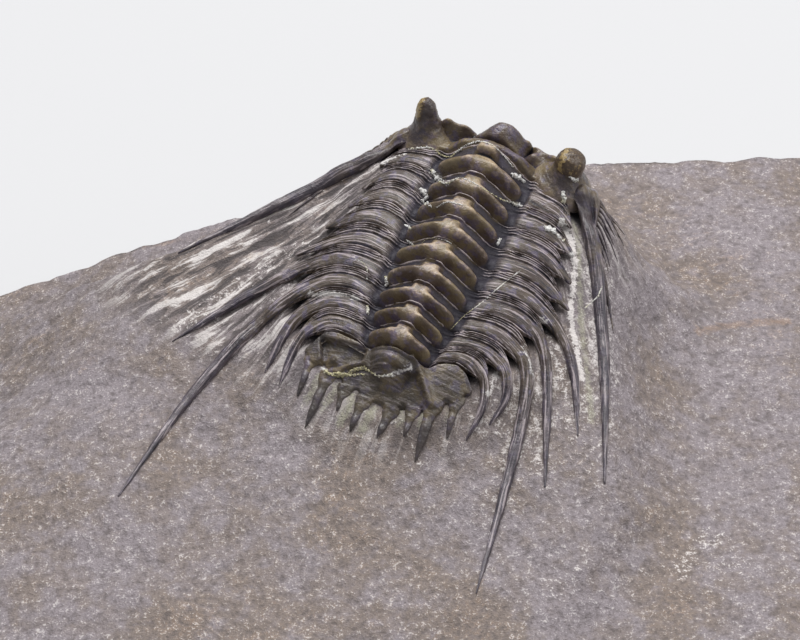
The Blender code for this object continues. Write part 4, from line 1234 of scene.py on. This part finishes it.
def cheek_course(side, spine_plan, rock):
    """Stations of a free cheek, from the front of the head to the tip of its spine."""
    inner = np.array(CHEEK_SUTURE)
    outer = np.array(CHEEK_MARGIN)
    plan = np.vstack((0.5 * (inner + outer), spine_plan))
    sheet_end = len(inner) - 1
    last = len(plan) - 1
    places = np.linspace(0.0, sheet_end, CHEEK_STATIONS)
    steps = round(path_length(plan[sheet_end:]) / STATION_SPACING)
    places = np.concatenate((places, np.linspace(sheet_end, last, steps + 1)[1:]))
    mirror = np.array((side, 1.0))
    middle = on_dome(curve(plan, places) * mirror)
    first_free = CHEEK_STATIONS - 1
    heading, back_way, run, free, size = spine_course(middle, side, first_free, CHEEK_SPINE_RADIUS)
    spread = curve(0.5 * (outer - inner), np.minimum(places, sheet_end)) * mirror
    outward = on_dome(middle[:, :2] + spread) - middle
    inward = on_dome(middle[:, :2] - spread) - middle
    round_share = smooth_step(places, sheet_end - 0.9, sheet_end + 0.25)[:, None]
    if side < 0:
        outward[:, 2] -= 0.7 * smooth_step(places / sheet_end, 0.4, 0.65)
    outward = (1.0 - round_share) * outward - round_share * back_way * size[:, None]
    inward = (1.0 - round_share) * inward + round_share * back_way * size[:, None]
    up = upright(heading, back_way, round_share)
    settle(middle, size, rock, smooth_step(places, sheet_end + 0.2, sheet_end + 1.0))
    return {
        "share": places / sheet_end, "middle": middle, "front": inward, "back": outward, "up": up,
        "size": size, "spine": round_share[:, 0], "free": free, "run": run,
    }


def make_cheek(name, side, spine_plan, rock):
    """Free cheek with its rim, stalked eye, long spine and fringe."""
    course = cheek_course(side, spine_plan, rock)
    across, round_height, under = section_places()
    size = course["size"][:, None]
    spine = course["spine"][:, None]
    span = np.clip(0.5 * (across + 1.0), 0.0, 1.0)
    swell = CHEEK_SWELL * np.sin(math.pi * np.minimum(1.0, span * 1.05))[None, :]
    swell = swell * np.sin(math.pi * np.clip(course["share"] + 0.12, 0.0, 1.0))[:, None]
    rim = CHEEK_RIM_HEIGHT * bell(across, 0.86, 0.12) - CHEEK_RIM_FURROW * bell(across, 0.6, 0.13)
    top = swell + rim[None, :] - 0.25 * smooth_step(np.abs(across), 0.93, 1.0)[None, :]
    plate = np.where(under[None, :], -0.5, top)
    height = (1.0 - spine) * plate + spine * round_height[None, :] * size
    height = height - 0.06 * bell(across, 0.1, 0.18) * (~under) * spine * size
    places = swept(course["middle"], course["front"], course["back"], course["up"], across, height)
    centre, *extent = CHEEK_KNOB
    places[:, :, 2] += knob(places[:, :, 0], places[:, :, 1], (side * centre[0], centre[1]), *extent)
    width = np.linalg.norm(course["back"] - course["front"], axis=1)[:, None]
    lay = np.stack(np.broadcast_arrays(course["run"][:, None], 0.5 * across[None, :] * width + 91.0), axis=-1)
    ones = np.ones(len(across))
    marks = {
        "rib": (0.12 + 0.5 * spine) * ones,
        "spine": smooth_step(course["free"][:, None], 0.0, 0.25) * ones,
        "eye": 0.0 * spine * ones,
    }
    piece = bent_sheet(name, places, lay=lay, marks=marks)
    close_tube(piece)
    roughen(piece, (0.8, 0.08))
    return join([piece, make_eye(side), make_fringe(side, rock)])


def bent_tube(name, middle, radius, around=14, height=None, marks=None):
    """Closed tube along a line of points, round or with a height of its own."""
    middle = np.asarray(middle, dtype=float)
    radius = np.asarray(radius, dtype=float)
    height = radius if height is None else height
    heading = unit(np.gradient(middle, axis=0))
    guide = np.array((0.0, 0.0, 1.0)) if abs(heading[0, 2]) < 0.8 else np.array((0.0, 1.0, 0.0))
    aside = unit(np.cross(heading, guide))
    up = np.cross(aside, heading)
    angle = np.linspace(0.0, 2.0 * math.pi, around + 1)
    wide = aside[:, None] * np.cos(angle)[None, :, None] * radius[:, None, None]
    high = up[:, None] * np.sin(angle)[None, :, None] * height[:, None, None]
    places = middle[:, None] + wide + high
    places[:, -1] = places[:, 0]
    lay = np.stack(np.broadcast_arrays(run_along(middle)[:, None], angle[None, :] * radius[:, None]), axis=-1)
    spread = {key: np.asarray(values)[:, None] * np.ones(around + 1) for key, values in (marks or {}).items()}
    piece = bent_sheet(name, places, lay=lay, marks=spread)
    close_tube(piece)
    return piece


def make_eye(side):
    """Flared stalk that carries the eye: a blunt horn on the left, a ball on the right."""
    foot = on_dome(np.array((side * EYE_FOOT[0], EYE_FOOT[1])), 0.1)
    top = np.array(RIGHT_EYE_TOP if side > 0 else LEFT_EYE_TOP)
    outline = RIGHT_EYE_PROFILE if side > 0 else LEFT_EYE_PROFILE
    fine = curve(outline, np.linspace(0.0, len(outline) - 1, 60))
    middle = foot + (top - foot) * fine[:, :1]
    eye = smooth_step(fine[:, 0], 0.46, 0.56)
    marks = {"rib": 0.0 * eye, "spine": 0.0 * eye, "eye": eye}
    piece = bent_tube("eye_stalk", middle, np.maximum(fine[:, 1], 0.02), around=48, marks=marks)
    aside = top[0] - read_points(piece.data)[:, 0]
    eye = read_mark(piece.data, "eye")
    # Painted light: the facet colour keeps to one side of each eye, so the inner side of the left eye stays
    # darker shell as painted shade, and the golden crescent on the inner side of the right eye is a painted
    # highlight
    if side < 0:
        eye = eye * smooth_step(aside, -0.3, 0.25)
    else:
        eye = eye * (0.6 + 0.4 * smooth_step(aside, 0.2, 0.6) * smooth_step(-aside, -0.85, -0.65))
    write_mark(piece.data, "eye", eye)
    roughen(piece, (0.35, 0.12), (0.12, 0.05))
    return piece


def make_fringe(side, rock):
    """Row of fine spines under the rim of the cheek, laid on the rock."""
    hairs = []
    step = np.linspace(0.0, 1.0, 14)
    for k in range(FRINGE_COUNT):
        share = k / (FRINGE_COUNT - 1)
        start = curve(FRINGE_EDGE, np.array((share * (len(FRINGE_EDGE) - 1),)))[0] + FRINGE_ROOT
        heading = unit(np.array(FRINGE_HEADING) + np.array(FRINGE_FRONT_TURN) * (1.0 - share) ** 2)
        length = FRINGE_LENGTH * (1.0 + FRINGE_UNEVENNESS * math.sin(2.4 * k))
        plan = start + heading * length * step[:, None] + np.array(FRINGE_BEND) * step[:, None] ** 2
        middle = on_dome(plan * (side, 1.0), -0.3)
        radius = FRINGE_RADIUS * (1.0 - step ** 1.6) + 0.012
        settle(middle, radius, rock, smooth_step(step, 0.05, 0.35))
        marks = {"rib": 0.0 * step, "spine": 0.6 + 0.0 * step, "eye": 0.0 * step}
        hairs.append(bent_tube(f"fringe_{k}", middle, radius, around=8, marks=marks))
    return join(hairs)


def tail_relief(x, y):
    """Surface of the tail shield over the body plane."""
    narrow = TAIL_AXIS_HALF_WIDTH * (1.0 - 0.22 * np.clip(TAIL_AXIS_FRONT - y, 0.0, None))
    arch = np.clip(1.0 - np.abs(x / narrow) ** ARCH_SHAPE, 0.0, None)
    arch = arch * np.clip(y - TAIL_AXIS_END, 0.0, 1.0)
    rings = np.abs(np.cos(math.pi * (y + 6.45) / TAIL_RING_PITCH)) ** 0.7
    height = dome(x, y) + (TAIL_AXIS_HEIGHT + TAIL_RING_RELIEF * (rings - 0.7)) * arch
    height += ridge(x, y, *TAIL_RIDGE)

    # Sunken field left of the axis
    lower = -8.6 + 0.56 * (x + 3.95)
    field = smooth_step(-1.7 - x, 0.0, 0.3) * smooth_step(x + 5.0 + 0.5 * (y + 6.6), 0.0, 0.3)
    field = field * smooth_step(TAIL_AXIS_FRONT - y, 0.0, 0.25) * smooth_step(y - lower, 0.0, 0.2)
    height -= TAIL_FIELD_DEPTH * field

    # Broken edge, behind which a layer of the shell has come off
    edge = np.interp(x, *zip(*TAIL_BREAK)) + 0.1 * np.sin(2.6 * x + 0.5) + 0.06 * np.sin(7.0 * x)
    broken = smooth_step(edge - y, -0.05, 0.1) * smooth_step(1.1 - 0.85 * (y + 6.3) - x, 0.0, 0.4)
    height -= TAIL_BREAK_DEPTH * broken
    return height + knob(x, y, *TAIL_KNOB)


def make_tail_plate():
    """Plate of the tail shield, notched between the spines of its margin."""
    share = np.linspace(-1.0, 1.0, TAIL_COLUMNS + 1)
    front = np.empty((TAIL_COLUMNS + 1, 2))
    for side, seam in ((1.0, RIGHT_BACK_SEAM), (-1.0, LEFT_BACK_SEAM)):
        chosen = share >= 0.0 if side > 0 else share < 0.0
        points = ((0.0, seam[0][1]),) + seam
        plan = curve(points, np.abs(share[chosen]) * (len(points) - 1))
        front[chosen] = plan * (side, 1.0)
    margin = curve(TAIL_MARGIN, 0.5 * (share + 1.0) * (len(TAIL_MARGIN) - 1))
    starts = np.array([spine[0] for spine in TAIL_SPINES])
    to_start = np.hypot(*(margin[:, None] - starts[None]).transpose(2, 0, 1)).min(axis=1)
    notch = TAIL_NOTCH * smooth_step(to_start, 0.15, 0.75)[:, None]
    notch = np.minimum(notch, 0.35 * np.linalg.norm(front - margin, axis=1)[:, None])
    margin = margin + notch * unit(front - margin)
    down = np.linspace(0.0, 1.0, TAIL_ROWS + 1)
    plan = front[:, None] * (1.0 - down)[None, :, None] + margin[:, None] * down[None, :, None]
    x, y = plan[:, :, 0], plan[:, :, 1]
    places = np.stack((x, y, tail_relief(x, y)), axis=-1)
    places[:, :, 2] -= 0.25 * smooth_step(down, 0.85, 1.0)[None, :]
    places[:, :, 2] -= 0.3 * smooth_step(-down, -0.04, 0.0)[None, :]
    piece = bent_sheet("tail_shield", places)
    take(piece)
    bpy.ops.object.mode_set(mode="EDIT")
    bpy.ops.mesh.select_all(action="SELECT")
    bpy.ops.mesh.flip_normals()
    bpy.ops.object.mode_set(mode="OBJECT")
    apply_modifier(piece, "SOLIDIFY", thickness=PLATE_THICKNESS, offset=-1.0)
    return piece


def make_tail_spine(start, end, radius, rock):
    """One spine of the tail's margin, widened where it grows out of the plate."""
    length = math.dist(start, end)
    run = np.arange(-0.7, length, 0.06)
    step = run[:, None] / length
    plan = np.array(start) * (1.0 - step) + np.array(end) * step
    taper = 1.0 - np.clip(step[:, 0], 0.0, 1.0) ** 2.4
    height = 0.85 * radius * taper + 0.02
    width = radius * taper + 0.02 + 0.24 * bell(np.maximum(run + 0.35, 0.0), 0.0, 0.38)
    middle = on_dome(plan, -0.3)
    middle[:, 2] += 0.12 * smooth_step(run, -0.4, 0.2)
    settle(middle, height, rock, smooth_step(run, 0.25, 1.1))
    middle[:, 2] += 0.08 * smooth_step(run, 0.25, 0.8) * (1.0 - smooth_step(step[:, 0], 0.6, 1.0))
    return bent_tube("tail_spine", middle, width, around=20, height=height)


def make_tail(rock):
    """Tail shield with its axis, its oblique ridge and the spines of its margin."""
    piece = join([make_tail_plate()] + [make_tail_spine(*spine, rock) for spine in TAIL_SPINES])
    apply_modifier(piece, "REMESH", mode="VOXEL", voxel_size=TAIL_VOXEL)
    apply_modifier(piece, "SMOOTH", factor=0.6, iterations=5)
    points = read_points(piece.data)
    x, y, z = points.T
    under = dome(x, y) - PLATE_THICKNESS - z
    outside = ~inside(x, y, np.vstack((TAIL_MARGIN, ((0.0, 0.0),))))
    reach = path_distance(x, y, np.array(TAIL_MARGIN)) * outside
    write_mark(piece.data, "spine", smooth_step(reach, 0.1, 0.8))
    write_mark(piece.data, "rib", 0.25 * (1.0 - smooth_step(reach, 0.0, 0.3)))
    # Painted shade where the tail sinks below the plate's under face, inside the margin
    write_mark(piece.data, "deep", 0.3 * smooth_step(under, 0.0, 0.1) * ~outside)
    write_lay(piece.data, "lay", points[:, :2])
    roughen(piece, (0.7, 0.08), (0.25, 0.04))
    return piece


def smooth_max(a, b, blend):
    """The higher of two surfaces, rounded where they meet."""
    share = np.clip(0.5 + 0.5 * (a - b) / blend, 0.0, 1.0)
    return a * share + b * (1.0 - share) + blend * share * (1.0 - share)


def soft_rise(value, blend):
    """Zero below zero and rising above it, with a rounded start."""
    return blend * np.logaddexp(0.0, value / blend)


def bed_height(x, y):
    """Upper face of the slab away from the animal."""
    north = y - SEAT[1]
    height = BED_HEIGHT + np.where(north > 0.0, BED_SLOPE_BEHIND, BED_SLOPE_BEFORE) * north
    height -= LEFT_FALL * np.maximum(0.0, -x - 9.0) * np.clip((y - 2.0) / 8.0, 0.0, 1.0)
    return height + BED_WAVE * np.sin(x * 0.21 + 0.8) * np.cos(y * 0.17 - 0.4)


def shell_outline():
    """Plan outline of head, ribs and tail, as one closed run of points."""
    head = [np.array(point) for point in CHEEK_MARGIN]
    right = head + [np.array(ribs[2]) for ribs in RIGHT_RIBS]
    left = head + [np.array(ribs[2]) for ribs in LEFT_RIBS]
    tail = [np.array(point) for point in TAIL_MARGIN]
    mirror = np.array((-1.0, 1.0))
    return np.array(right + tail[::-1] + [point * mirror for point in left[::-1]])


def path_distance(x, y, path):
    """Distance in plan from a path of points."""
    nearest = np.full(x.shape, 1e9)
    for start, end in zip(path, path[1:]):
        along = end - start
        share = ((x - start[0]) * along[0] + (y - start[1]) * along[1]) / along.dot(along)
        share = np.clip(share, 0.0, 1.0)
        away = np.hypot(x - start[0] - share * along[0], y - start[1] - share * along[1])
        nearest = np.minimum(nearest, away)
    return nearest


def inside(x, y, outline):
    """Whether plan points lie within a closed outline."""
    within = np.zeros(x.shape, dtype=bool)
    for start, end in zip(outline, np.roll(outline, -1, axis=0)):
        crosses = (start[1] > y) != (end[1] > y)
        rise = end[1] - start[1]
        cut = start[0] + (y - start[1]) / (rise if abs(rise) > 1e-9 else 1e-9) * (end[0] - start[0])
        within ^= crosses & (x < cut)
    return within


def spine_plans():
    """Plan paths of all free spines, each with its radius."""
    paths = []
    for side, ribs in ((1.0, RIGHT_RIBS), (-1.0, LEFT_RIBS)):
        for index, rib in enumerate(ribs):
            if len(rib) > 3:
                plan = curve(rib_plan(index, side), np.linspace(2.6, len(rib), 24)) * (side, 1.0)
                paths.append((plan, SPINE_RADIUS[index]))
    for side, spine in ((1.0, RIGHT_CHEEK_SPINE), (-1.0, LEFT_CHEEK_SPINE)):
        plan = curve(spine, np.linspace(0.0, len(spine) - 1, 24)) * (side, 1.0)
        paths.append((plan, CHEEK_SPINE_RADIUS))
    for start, end, radius in TAIL_SPINES:
        paths.append((np.array((start, end)), radius))
    return paths


def rock_surface(x, y):
    """Upper face of the block, with the body plan places and the distances that its marks need.

    The face is given along the block's z, but the mound follows the tilted body, so the
    height is found by rounds, each with the body places that the last one gave.
    """
    right, forward, up = TURN[:, 0], TURN[:, 1], TURN[:, 2]
    east = x - SEAT[0]
    north = y - SEAT[1]
    rise = np.full_like(x, -3.0)
    outline = shell_outline()
    paths = spine_plans()
    edge = to_spine = None
    for turn in range(SURFACE_ROUNDS):
        body_x = right[0] * east + right[1] * north + right[2] * rise
        body_y = forward[0] * east + forward[1] * north + forward[2] * rise
        if turn in DISTANCE_ROUNDS:
            edge = path_distance(body_x, body_y, np.vstack((outline, outline[:1])))
            edge = np.where(inside(body_x, body_y, outline), -edge, edge)
            to_spine = np.full(x.shape, 99.0)
            for path, radius in paths:
                to_spine = np.minimum(to_spine, path_distance(body_x, body_y, path) - radius)
        limit_right = np.interp(body_y, *zip(*MOUND_RIGHT))
        crest = np.interp(body_x, *zip(*MOUND_RIDGE))
        fall = MOUND_FALL * soft_rise(body_x - limit_right, 0.5)
        fall = fall + MOUND_STEEP_FALL * np.maximum(0.0, body_y - crest) * (body_x < MOUND_STEEP_END)
        fall = fall + MOUND_LEFT_FALL * soft_rise(MOUND_LEFT - body_x, 1.8)
        depth = FIRST_DEPTH
        if edge is not None:
            rising = (DEPTH_BESIDE_SHELL - DEPTH_UNDER_SHELL) * smooth_step(edge, -1.6, 0.2)
            depth = DEPTH_UNDER_SHELL + rising
            beside = bell(np.maximum(to_spine, 0.0), 0.0, 0.5) * smooth_step(edge, -0.1, 0.3)
            depth = depth + (DEPTH_AT_SPINES - depth) * beside
        level = dome(body_x, body_y) - depth - fall
        target = (level - up[0] * east - up[1] * north) / up[2]
        rise = 0.5 * rise + 0.5 * target
    top = smooth_max(rise + SEAT[2], bed_height(x, y), MOUND_BLEND)
    return top, body_x, body_y, edge, to_spine


def block_plan(u, v):
    """Plan points of the block for places in a square from -1 to 1."""
    corner = 1.0 - CORNER_ROUNDING * (u * u * v * v) ** 2
    x = BLOCK_HALF_LENGTH * u * corner
    back = 1.0 - BACK_NARROWING * np.clip((6.0 - x) / 14.0, 0.0, 1.0) * np.maximum(0.0, v)
    x = x * (1.0 - END_WAVE * (1.0 + np.sin(3.1 * v + 0.6)) * np.abs(u) ** 3)
    y = BLOCK_HALF_WIDTH * v * corner * back
    y = y * (1.0 - SIDE_WAVE * (1.0 + np.sin(4.3 * u + 1.0)) * np.abs(v) ** 3)
    fitted = []
    for places, half in ((x, BLOCK_HALF_LENGTH), (y, BLOCK_HALF_WIDTH)):
        low, high = places.min(), places.max()
        size = 2.0 * (half - BLOCK_MARGIN)
        fitted.append((places - 0.5 * (low + high)) * size / (high - low))
    return fitted


def crowded(count, centre, half, crowding):
    """Places from -1 to 1, closer together around a centre."""
    fine = np.linspace(-1.0, 1.0, 2001)
    density = 1.0 + crowding * np.exp(-(((fine - centre) / half) ** 4))
    total = np.concatenate(((0.0,), np.cumsum(0.5 * (density[1:] + density[:-1]))))
    return np.interp(np.linspace(0.0, total[-1], count + 1), total, fine)


def rock_marks(u, v, body_x, body_y, edge, to_spine):
    """Marks of the block's top: streaks on the left flank, pale rims of spines, and covered rock for painted
    shade.
    """
    to_left = smooth_step(-body_x, 4.0, 8.0) * smooth_step(body_y, -12.0, -5.0)
    near = smooth_step(-np.maximum(edge, 0.0), -4.0 - 12.0 * to_left, -0.5 - 6.0 * to_left)
    near = near * (0.4 + 0.6 * to_left)
    spine_line = np.interp(-body_x, *zip(CHEEK_SPINE_ROOT, *LEFT_CHEEK_SPINE))
    near = near * (1.0 - 0.85 * smooth_step(body_y - spine_line, 0.2, 2.5))
    near = near * smooth_step(1.0 - np.maximum(np.abs(u), np.abs(v)), 0.0, 0.08)
    away = np.maximum(to_spine, 0.0)
    halo = bell(away, 0.0, 0.7) * smooth_step(edge, -0.1, 0.2)
    halo = halo * (0.26 + 0.24 * smooth_step(body_x, 4.0, 8.0)) * (1.0 - 0.45 * smooth_step(edge, 3.0, 8.0))
    return {"near": near, "halo": halo, "calm": bell(away, 0.0, 0.5), "deep": smooth_step(-edge, 0.4, 1.1)}


def add_walls(piece):
    """Draw the rim of the block's top down to its base in bands, and close the base."""
    take(piece)
    bpy.ops.object.mode_set(mode="EDIT")
    bpy.ops.mesh.select_mode(type="EDGE")
    bpy.ops.mesh.select_all(action="DESELECT")
    bpy.ops.mesh.select_non_manifold()
    level = 1.0
    for lower in WALL_LEVELS:
        inset = 0.9985 if lower > 0.0 else 0.99
        bpy.ops.mesh.extrude_edges_move()
        bpy.ops.transform.resize(value=(inset, inset, lower / level), center_override=(0.0, 0.0, 0.0))
        level = max(lower, 1e-6)
    bpy.ops.mesh.edge_face_add()
    bpy.ops.mesh.select_all(action="SELECT")
    bpy.ops.mesh.normals_make_consistent(inside=False)
    bpy.ops.mesh.select_mode(type="VERT")
    bpy.ops.object.mode_set(mode="OBJECT")


def make_rock():
    """Limestone block: uneven top with the mound, broken sides and a sawn base."""
    columns = crowded(BLOCK_COLUMNS, *COLUMN_CROWDING)
    u, v = np.meshgrid(columns, crowded(BLOCK_ROWS, *ROW_CROWDING), indexing="ij")
    x, y = block_plan(u, v)
    top, body_x, body_y, edge, to_spine = rock_surface(x, y)
    east, south = body_x - STREAK_SOURCE[0], STREAK_SOURCE[1] - body_y
    bearing = np.arctan2(east, south)
    flow = np.stack((STREAK_STRETCH * np.hypot(east, south), STREAK_CROWDING * bearing), axis=-1)
    marks = rock_marks(u, v, body_x, body_y, edge, to_spine)
    places = np.stack((x, y, top), axis=-1)
    piece = bent_sheet("limestone_block", places, lay=flow, lay_name="flow", marks=marks)
    top_count = len(piece.data.vertices)
    add_walls(piece)

    calm, near = read_mark(piece.data, "calm"), read_mark(piece.data, "near")
    height = read_points(piece.data)[:, 2]
    on_top = np.arange(len(height)) < top_count
    weigh(piece, "top", on_top * (1.0 - 0.7 * calm))
    weigh(piece, "walls", ~on_top * np.clip(height / 1.5, 0.0, 1.0))
    weigh(piece, "streaks", on_top * near)
    roughen(piece, (5.0, 0.5), (1.3, 0.3), group="top")
    roughen(piece, (1.1, 0.4), group="streaks", lay="flow")
    roughen(piece, (0.45, 0.16), group="top")
    roughen(piece, (8.0, 2.2), (2.6, 0.9), (1.0, 0.4), group="walls")
    keep_in_box(piece)
    return piece


def keep_in_box(piece):
    """Hold the block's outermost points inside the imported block's box."""
    low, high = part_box("matrix")
    points = read_points(piece.data)
    write_points(piece.data, np.clip(points, np.array(low) / MM, np.array(high) / MM))


def weigh(piece, name, weights, levels=20):
    """Vertex group from one weight for each vertex, rounded to a number of levels."""
    group = piece.vertex_groups.new(name=name)
    steps = np.rint(np.clip(weights, 0.0, 1.0) * float(levels)).astype(int)
    for step in range(1, levels + 1):
        chosen = np.flatnonzero(steps == step)
        if len(chosen):
            group.add(chosen.tolist(), step / float(levels), "REPLACE")


def wobble(k, pitch):
    """Uneven but repeatable value from -1 to 1."""
    return math.sin(k * pitch) * math.cos(1.7 * k * pitch + 0.6)


def make_crust(tree):
    """Lumps of calcite along the seams and cracks, fused into one crust."""
    lumps = []
    for pixels, radius in CRUST_SEAMS:
        path = seen_path(tree, pixels, spacing=max(0.7, radius * 11.0))
        for k, (place, normal) in enumerate(path):
            size = radius * (0.8 + 0.5 * wobble(k, 2.3 + radius))
            aside = normal.cross(Vector((wobble(k, 1.3), 0.4, wobble(k, 3.1)))) * radius * wobble(k, 5.1)
            bpy.ops.object.select_all(action="DESELECT")
            bpy.ops.mesh.primitive_ico_sphere_add(
                subdivisions=2, radius=size, location=place + aside, rotation=(k, 1.7 * k, 0.6 * k))
            lump = bpy.context.object
            lump.scale = (1.5, 1.0, 0.7)
            lumps.append(lump)
    piece = join(lumps)
    piece.name = "calcite_crust"
    piece.data.name = "calcite_crust"
    take(piece)
    bpy.ops.object.transform_apply(location=True, rotation=True, scale=True)
    apply_modifier(piece, "REMESH", mode="VOXEL", voxel_size=CRUST_VOXEL)
    roughen(piece, (0.16, 0.07), (0.07, 0.04))
    return piece


def stain(pieces, tree):
    """Mark pale, rusty and greenish bands on every piece that they cross."""
    for name, bands in (("calcite", CALCITE_BANDS), ("ochre", OCHRE_BANDS), ("green", GREEN_BANDS)):
        paths = []
        for pixels, half, strength in bands:
            spots = np.array([place for place, _ in seen_path(tree, pixels, 4.0)])
            paths.append((spots, half, strength))
        for piece in pieces:
            points = read_points(piece.data) / MM
            level = np.zeros(len(points))
            for path, half, strength in paths:
                for spot in path:
                    away = ((points - spot) ** 2).sum(axis=1)
                    level = np.maximum(level, strength * np.exp(-0.5 * away / half ** 2))
            write_mark(piece.data, name, level)


class FOSSIL_OT_add_limestone(bpy.types.Operator):
    """Model the limestone block with the mound that carries the animal"""

    bl_idname = "fossil.add_limestone"
    bl_label = "Limestone block"

    def execute(self, context):
        material = rock_material(context.scene.fossil_rock)
        finish_piece(make_rock(), material, ("matrix",), rounds=5, full=0.12, on_body=False)
        return {"FINISHED"}


class FOSSIL_OT_add_cranidium(bpy.types.Operator):
    """Model the middle of the head shield"""

    bl_idname = "fossil.add_cranidium"
    bl_label = "Cranidium"

    def execute(self, context):
        material = shell_material("head_shell", context.scene.fossil_shell, rubbing_and_highlight_strength=0.5, shade=0.3)
        finish_piece(make_cranidium(), material, ("cranidium",), rounds=8)
        return {"FINISHED"}


class FOSSIL_OT_add_free_cheeks(bpy.types.Operator):
    """Model both free cheeks with eyes, long spines and fringes"""

    bl_idname = "fossil.add_free_cheeks"
    bl_label = "Free cheeks"

    def execute(self, context):
        rock = rock_tree()
        material = shell_material("cheek_shell", context.scene.fossil_shell, rubbing_and_highlight_strength=0.25, shade=0.7)
        for name, side, spine in (("left", -1.0, LEFT_CHEEK_SPINE), ("right", 1.0, RIGHT_CHEEK_SPINE)):
            piece = make_cheek(f"{name}_cheek_shell", side, spine, rock)
            finish_piece(piece, material, (f"{name}_free_cheek",))
        return {"FINISHED"}


class FOSSIL_OT_add_thorax(bpy.types.Operator):
    """Model the nine rings with their ribs and spines"""

    bl_idname = "fossil.add_thorax"
    bl_label = "Thoracic segments"

    def execute(self, context):
        rock = rock_tree()
        material = shell_material("body_shell", context.scene.fossil_shell)
        for index in range(len(RING_Y)):
            piece = make_segment(index, rock)
            finish_piece(piece, material, (f"thoracic_segment_{index + 1}",))
        return {"FINISHED"}


class FOSSIL_OT_add_pygidium(bpy.types.Operator):
    """Model the tail shield with the spines of its margin"""

    bl_idname = "fossil.add_pygidium"
    bl_label = "Pygidium"

    def execute(self, context):
        rock = rock_tree()
        settings = context.scene.fossil_shell
        material = shell_material("tail_shell", settings, rubbing_and_highlight_strength=0.3, shade=0.65, dark=TAIL_SHADE)
        finish_piece(make_tail(rock), material, ("pygidium",), rounds=8)
        return {"FINISHED"}


class FOSSIL_OT_add_calcite(bpy.types.Operator):
    """Add the calcite crust and mark pale and rusty bands on all pieces"""

    bl_idname = "fossil.add_calcite"
    bl_label = "Calcite and stains"

    def execute(self, context):
        pieces = [piece for piece in context.scene.objects if piece.get("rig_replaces")]
        tree = surface_tree(pieces)
        stain(pieces, tree)
        material = crust_material(context.scene.fossil_rock)
        finish_piece(make_crust(tree), material, (), on_body=False)
        return {"FINISHED"}


class FOSSIL_OT_add_studio(bpy.types.Operator):
    """Add the floor, the lights and the camera"""

    bl_idname = "fossil.add_studio"
    bl_label = "Studio"

    def execute(self, context):
        settings = context.scene.fossil_studio
        bpy.ops.object.select_all(action="DESELECT")
        bpy.ops.mesh.primitive_plane_add(size=settings.floor_size)
        floor = bpy.context.object
        floor.name = "studio_floor"
        floor.data.materials.append(floor_material(settings))
        add_lamp("key_lamp", *KEY_LAMP, settings.key_power)
        add_lamp("rim_lamp", *RIM_LAMP, settings.rim_power)
        world = bpy.data.worlds.new("studio_light")
        world.use_nodes = True
        background = world.node_tree.nodes["Background"]
        background.inputs["Color"].default_value = SKY_COLOUR
        background.inputs["Strength"].default_value = settings.fill
        context.scene.world = world
        bpy.ops.object.camera_add(location=VIEW_PLACE, rotation=(0.5 * math.pi - VIEW_DOWN, 0.0, 0.0))
        camera = bpy.context.object
        camera.name = "studio_camera"
        camera.data.lens = settings.lens
        camera.data.sensor_width = VIEW_SENSOR
        camera.data.clip_start = 0.001
        context.scene.camera = camera
        context.scene.view_settings.view_transform = "Standard"
        return {"FINISHED"}


def add_lamp(name, place, target, size, power):
    """Large soft lamp turned towards a target."""
    bpy.ops.object.light_add(type="AREA", location=place)
    lamp = bpy.context.object
    lamp.name = name
    lamp.data.size = size
    lamp.data.energy = power
    lamp.rotation_euler = (Vector(target) - Vector(place)).to_track_quat("-Z", "Y").to_euler()


class FOSSIL_PT_builder(bpy.types.Panel):
    """Lists the pieces of the fossil and their settings"""

    bl_label = "Fossil trilobite"
    bl_idname = "FOSSIL_PT_builder"
    bl_space_type = "VIEW_3D"
    bl_region_type = "UI"
    bl_category = "Fossil"

    def draw(self, context):
        layout = self.layout
        for operator in OPERATORS:
            layout.operator(operator.bl_idname)
        for owner in SETTINGS:
            box = layout.box()
            for field in SETTINGS[owner].__annotations__:
                box.prop(getattr(context.scene, owner), field)


OPERATORS = (
    FOSSIL_OT_add_limestone,
    FOSSIL_OT_add_cranidium,
    FOSSIL_OT_add_free_cheeks,
    FOSSIL_OT_add_thorax,
    FOSSIL_OT_add_pygidium,
    FOSSIL_OT_add_calcite,
    FOSSIL_OT_add_studio,
)
SETTINGS = {
    "fossil_shell": ShellSettings,
    "fossil_rock": RockSettings,
    "fossil_studio": StudioSettings,
}


def register():
    for owner, group in SETTINGS.items():
        bpy.utils.register_class(group)
        setattr(bpy.types.Scene, owner, PointerProperty(type=group))
    for operator in OPERATORS:
        bpy.utils.register_class(operator)
    bpy.utils.register_class(FOSSIL_PT_builder)


def unregister():
    bpy.utils.unregister_class(FOSSIL_PT_builder)
    for operator in reversed(OPERATORS):
        bpy.utils.unregister_class(operator)
    for owner, group in SETTINGS.items():
        delattr(bpy.types.Scene, owner)
        bpy.utils.unregister_class(group)


def main():
    register()
    bpy.ops.fossil.add_limestone()
    bpy.ops.fossil.add_cranidium()
    bpy.ops.fossil.add_free_cheeks()
    bpy.ops.fossil.add_thorax()
    bpy.ops.fossil.add_pygidium()
    bpy.ops.fossil.add_calcite()
    bpy.ops.fossil.add_studio()


if __name__ == "__main__":
    main()
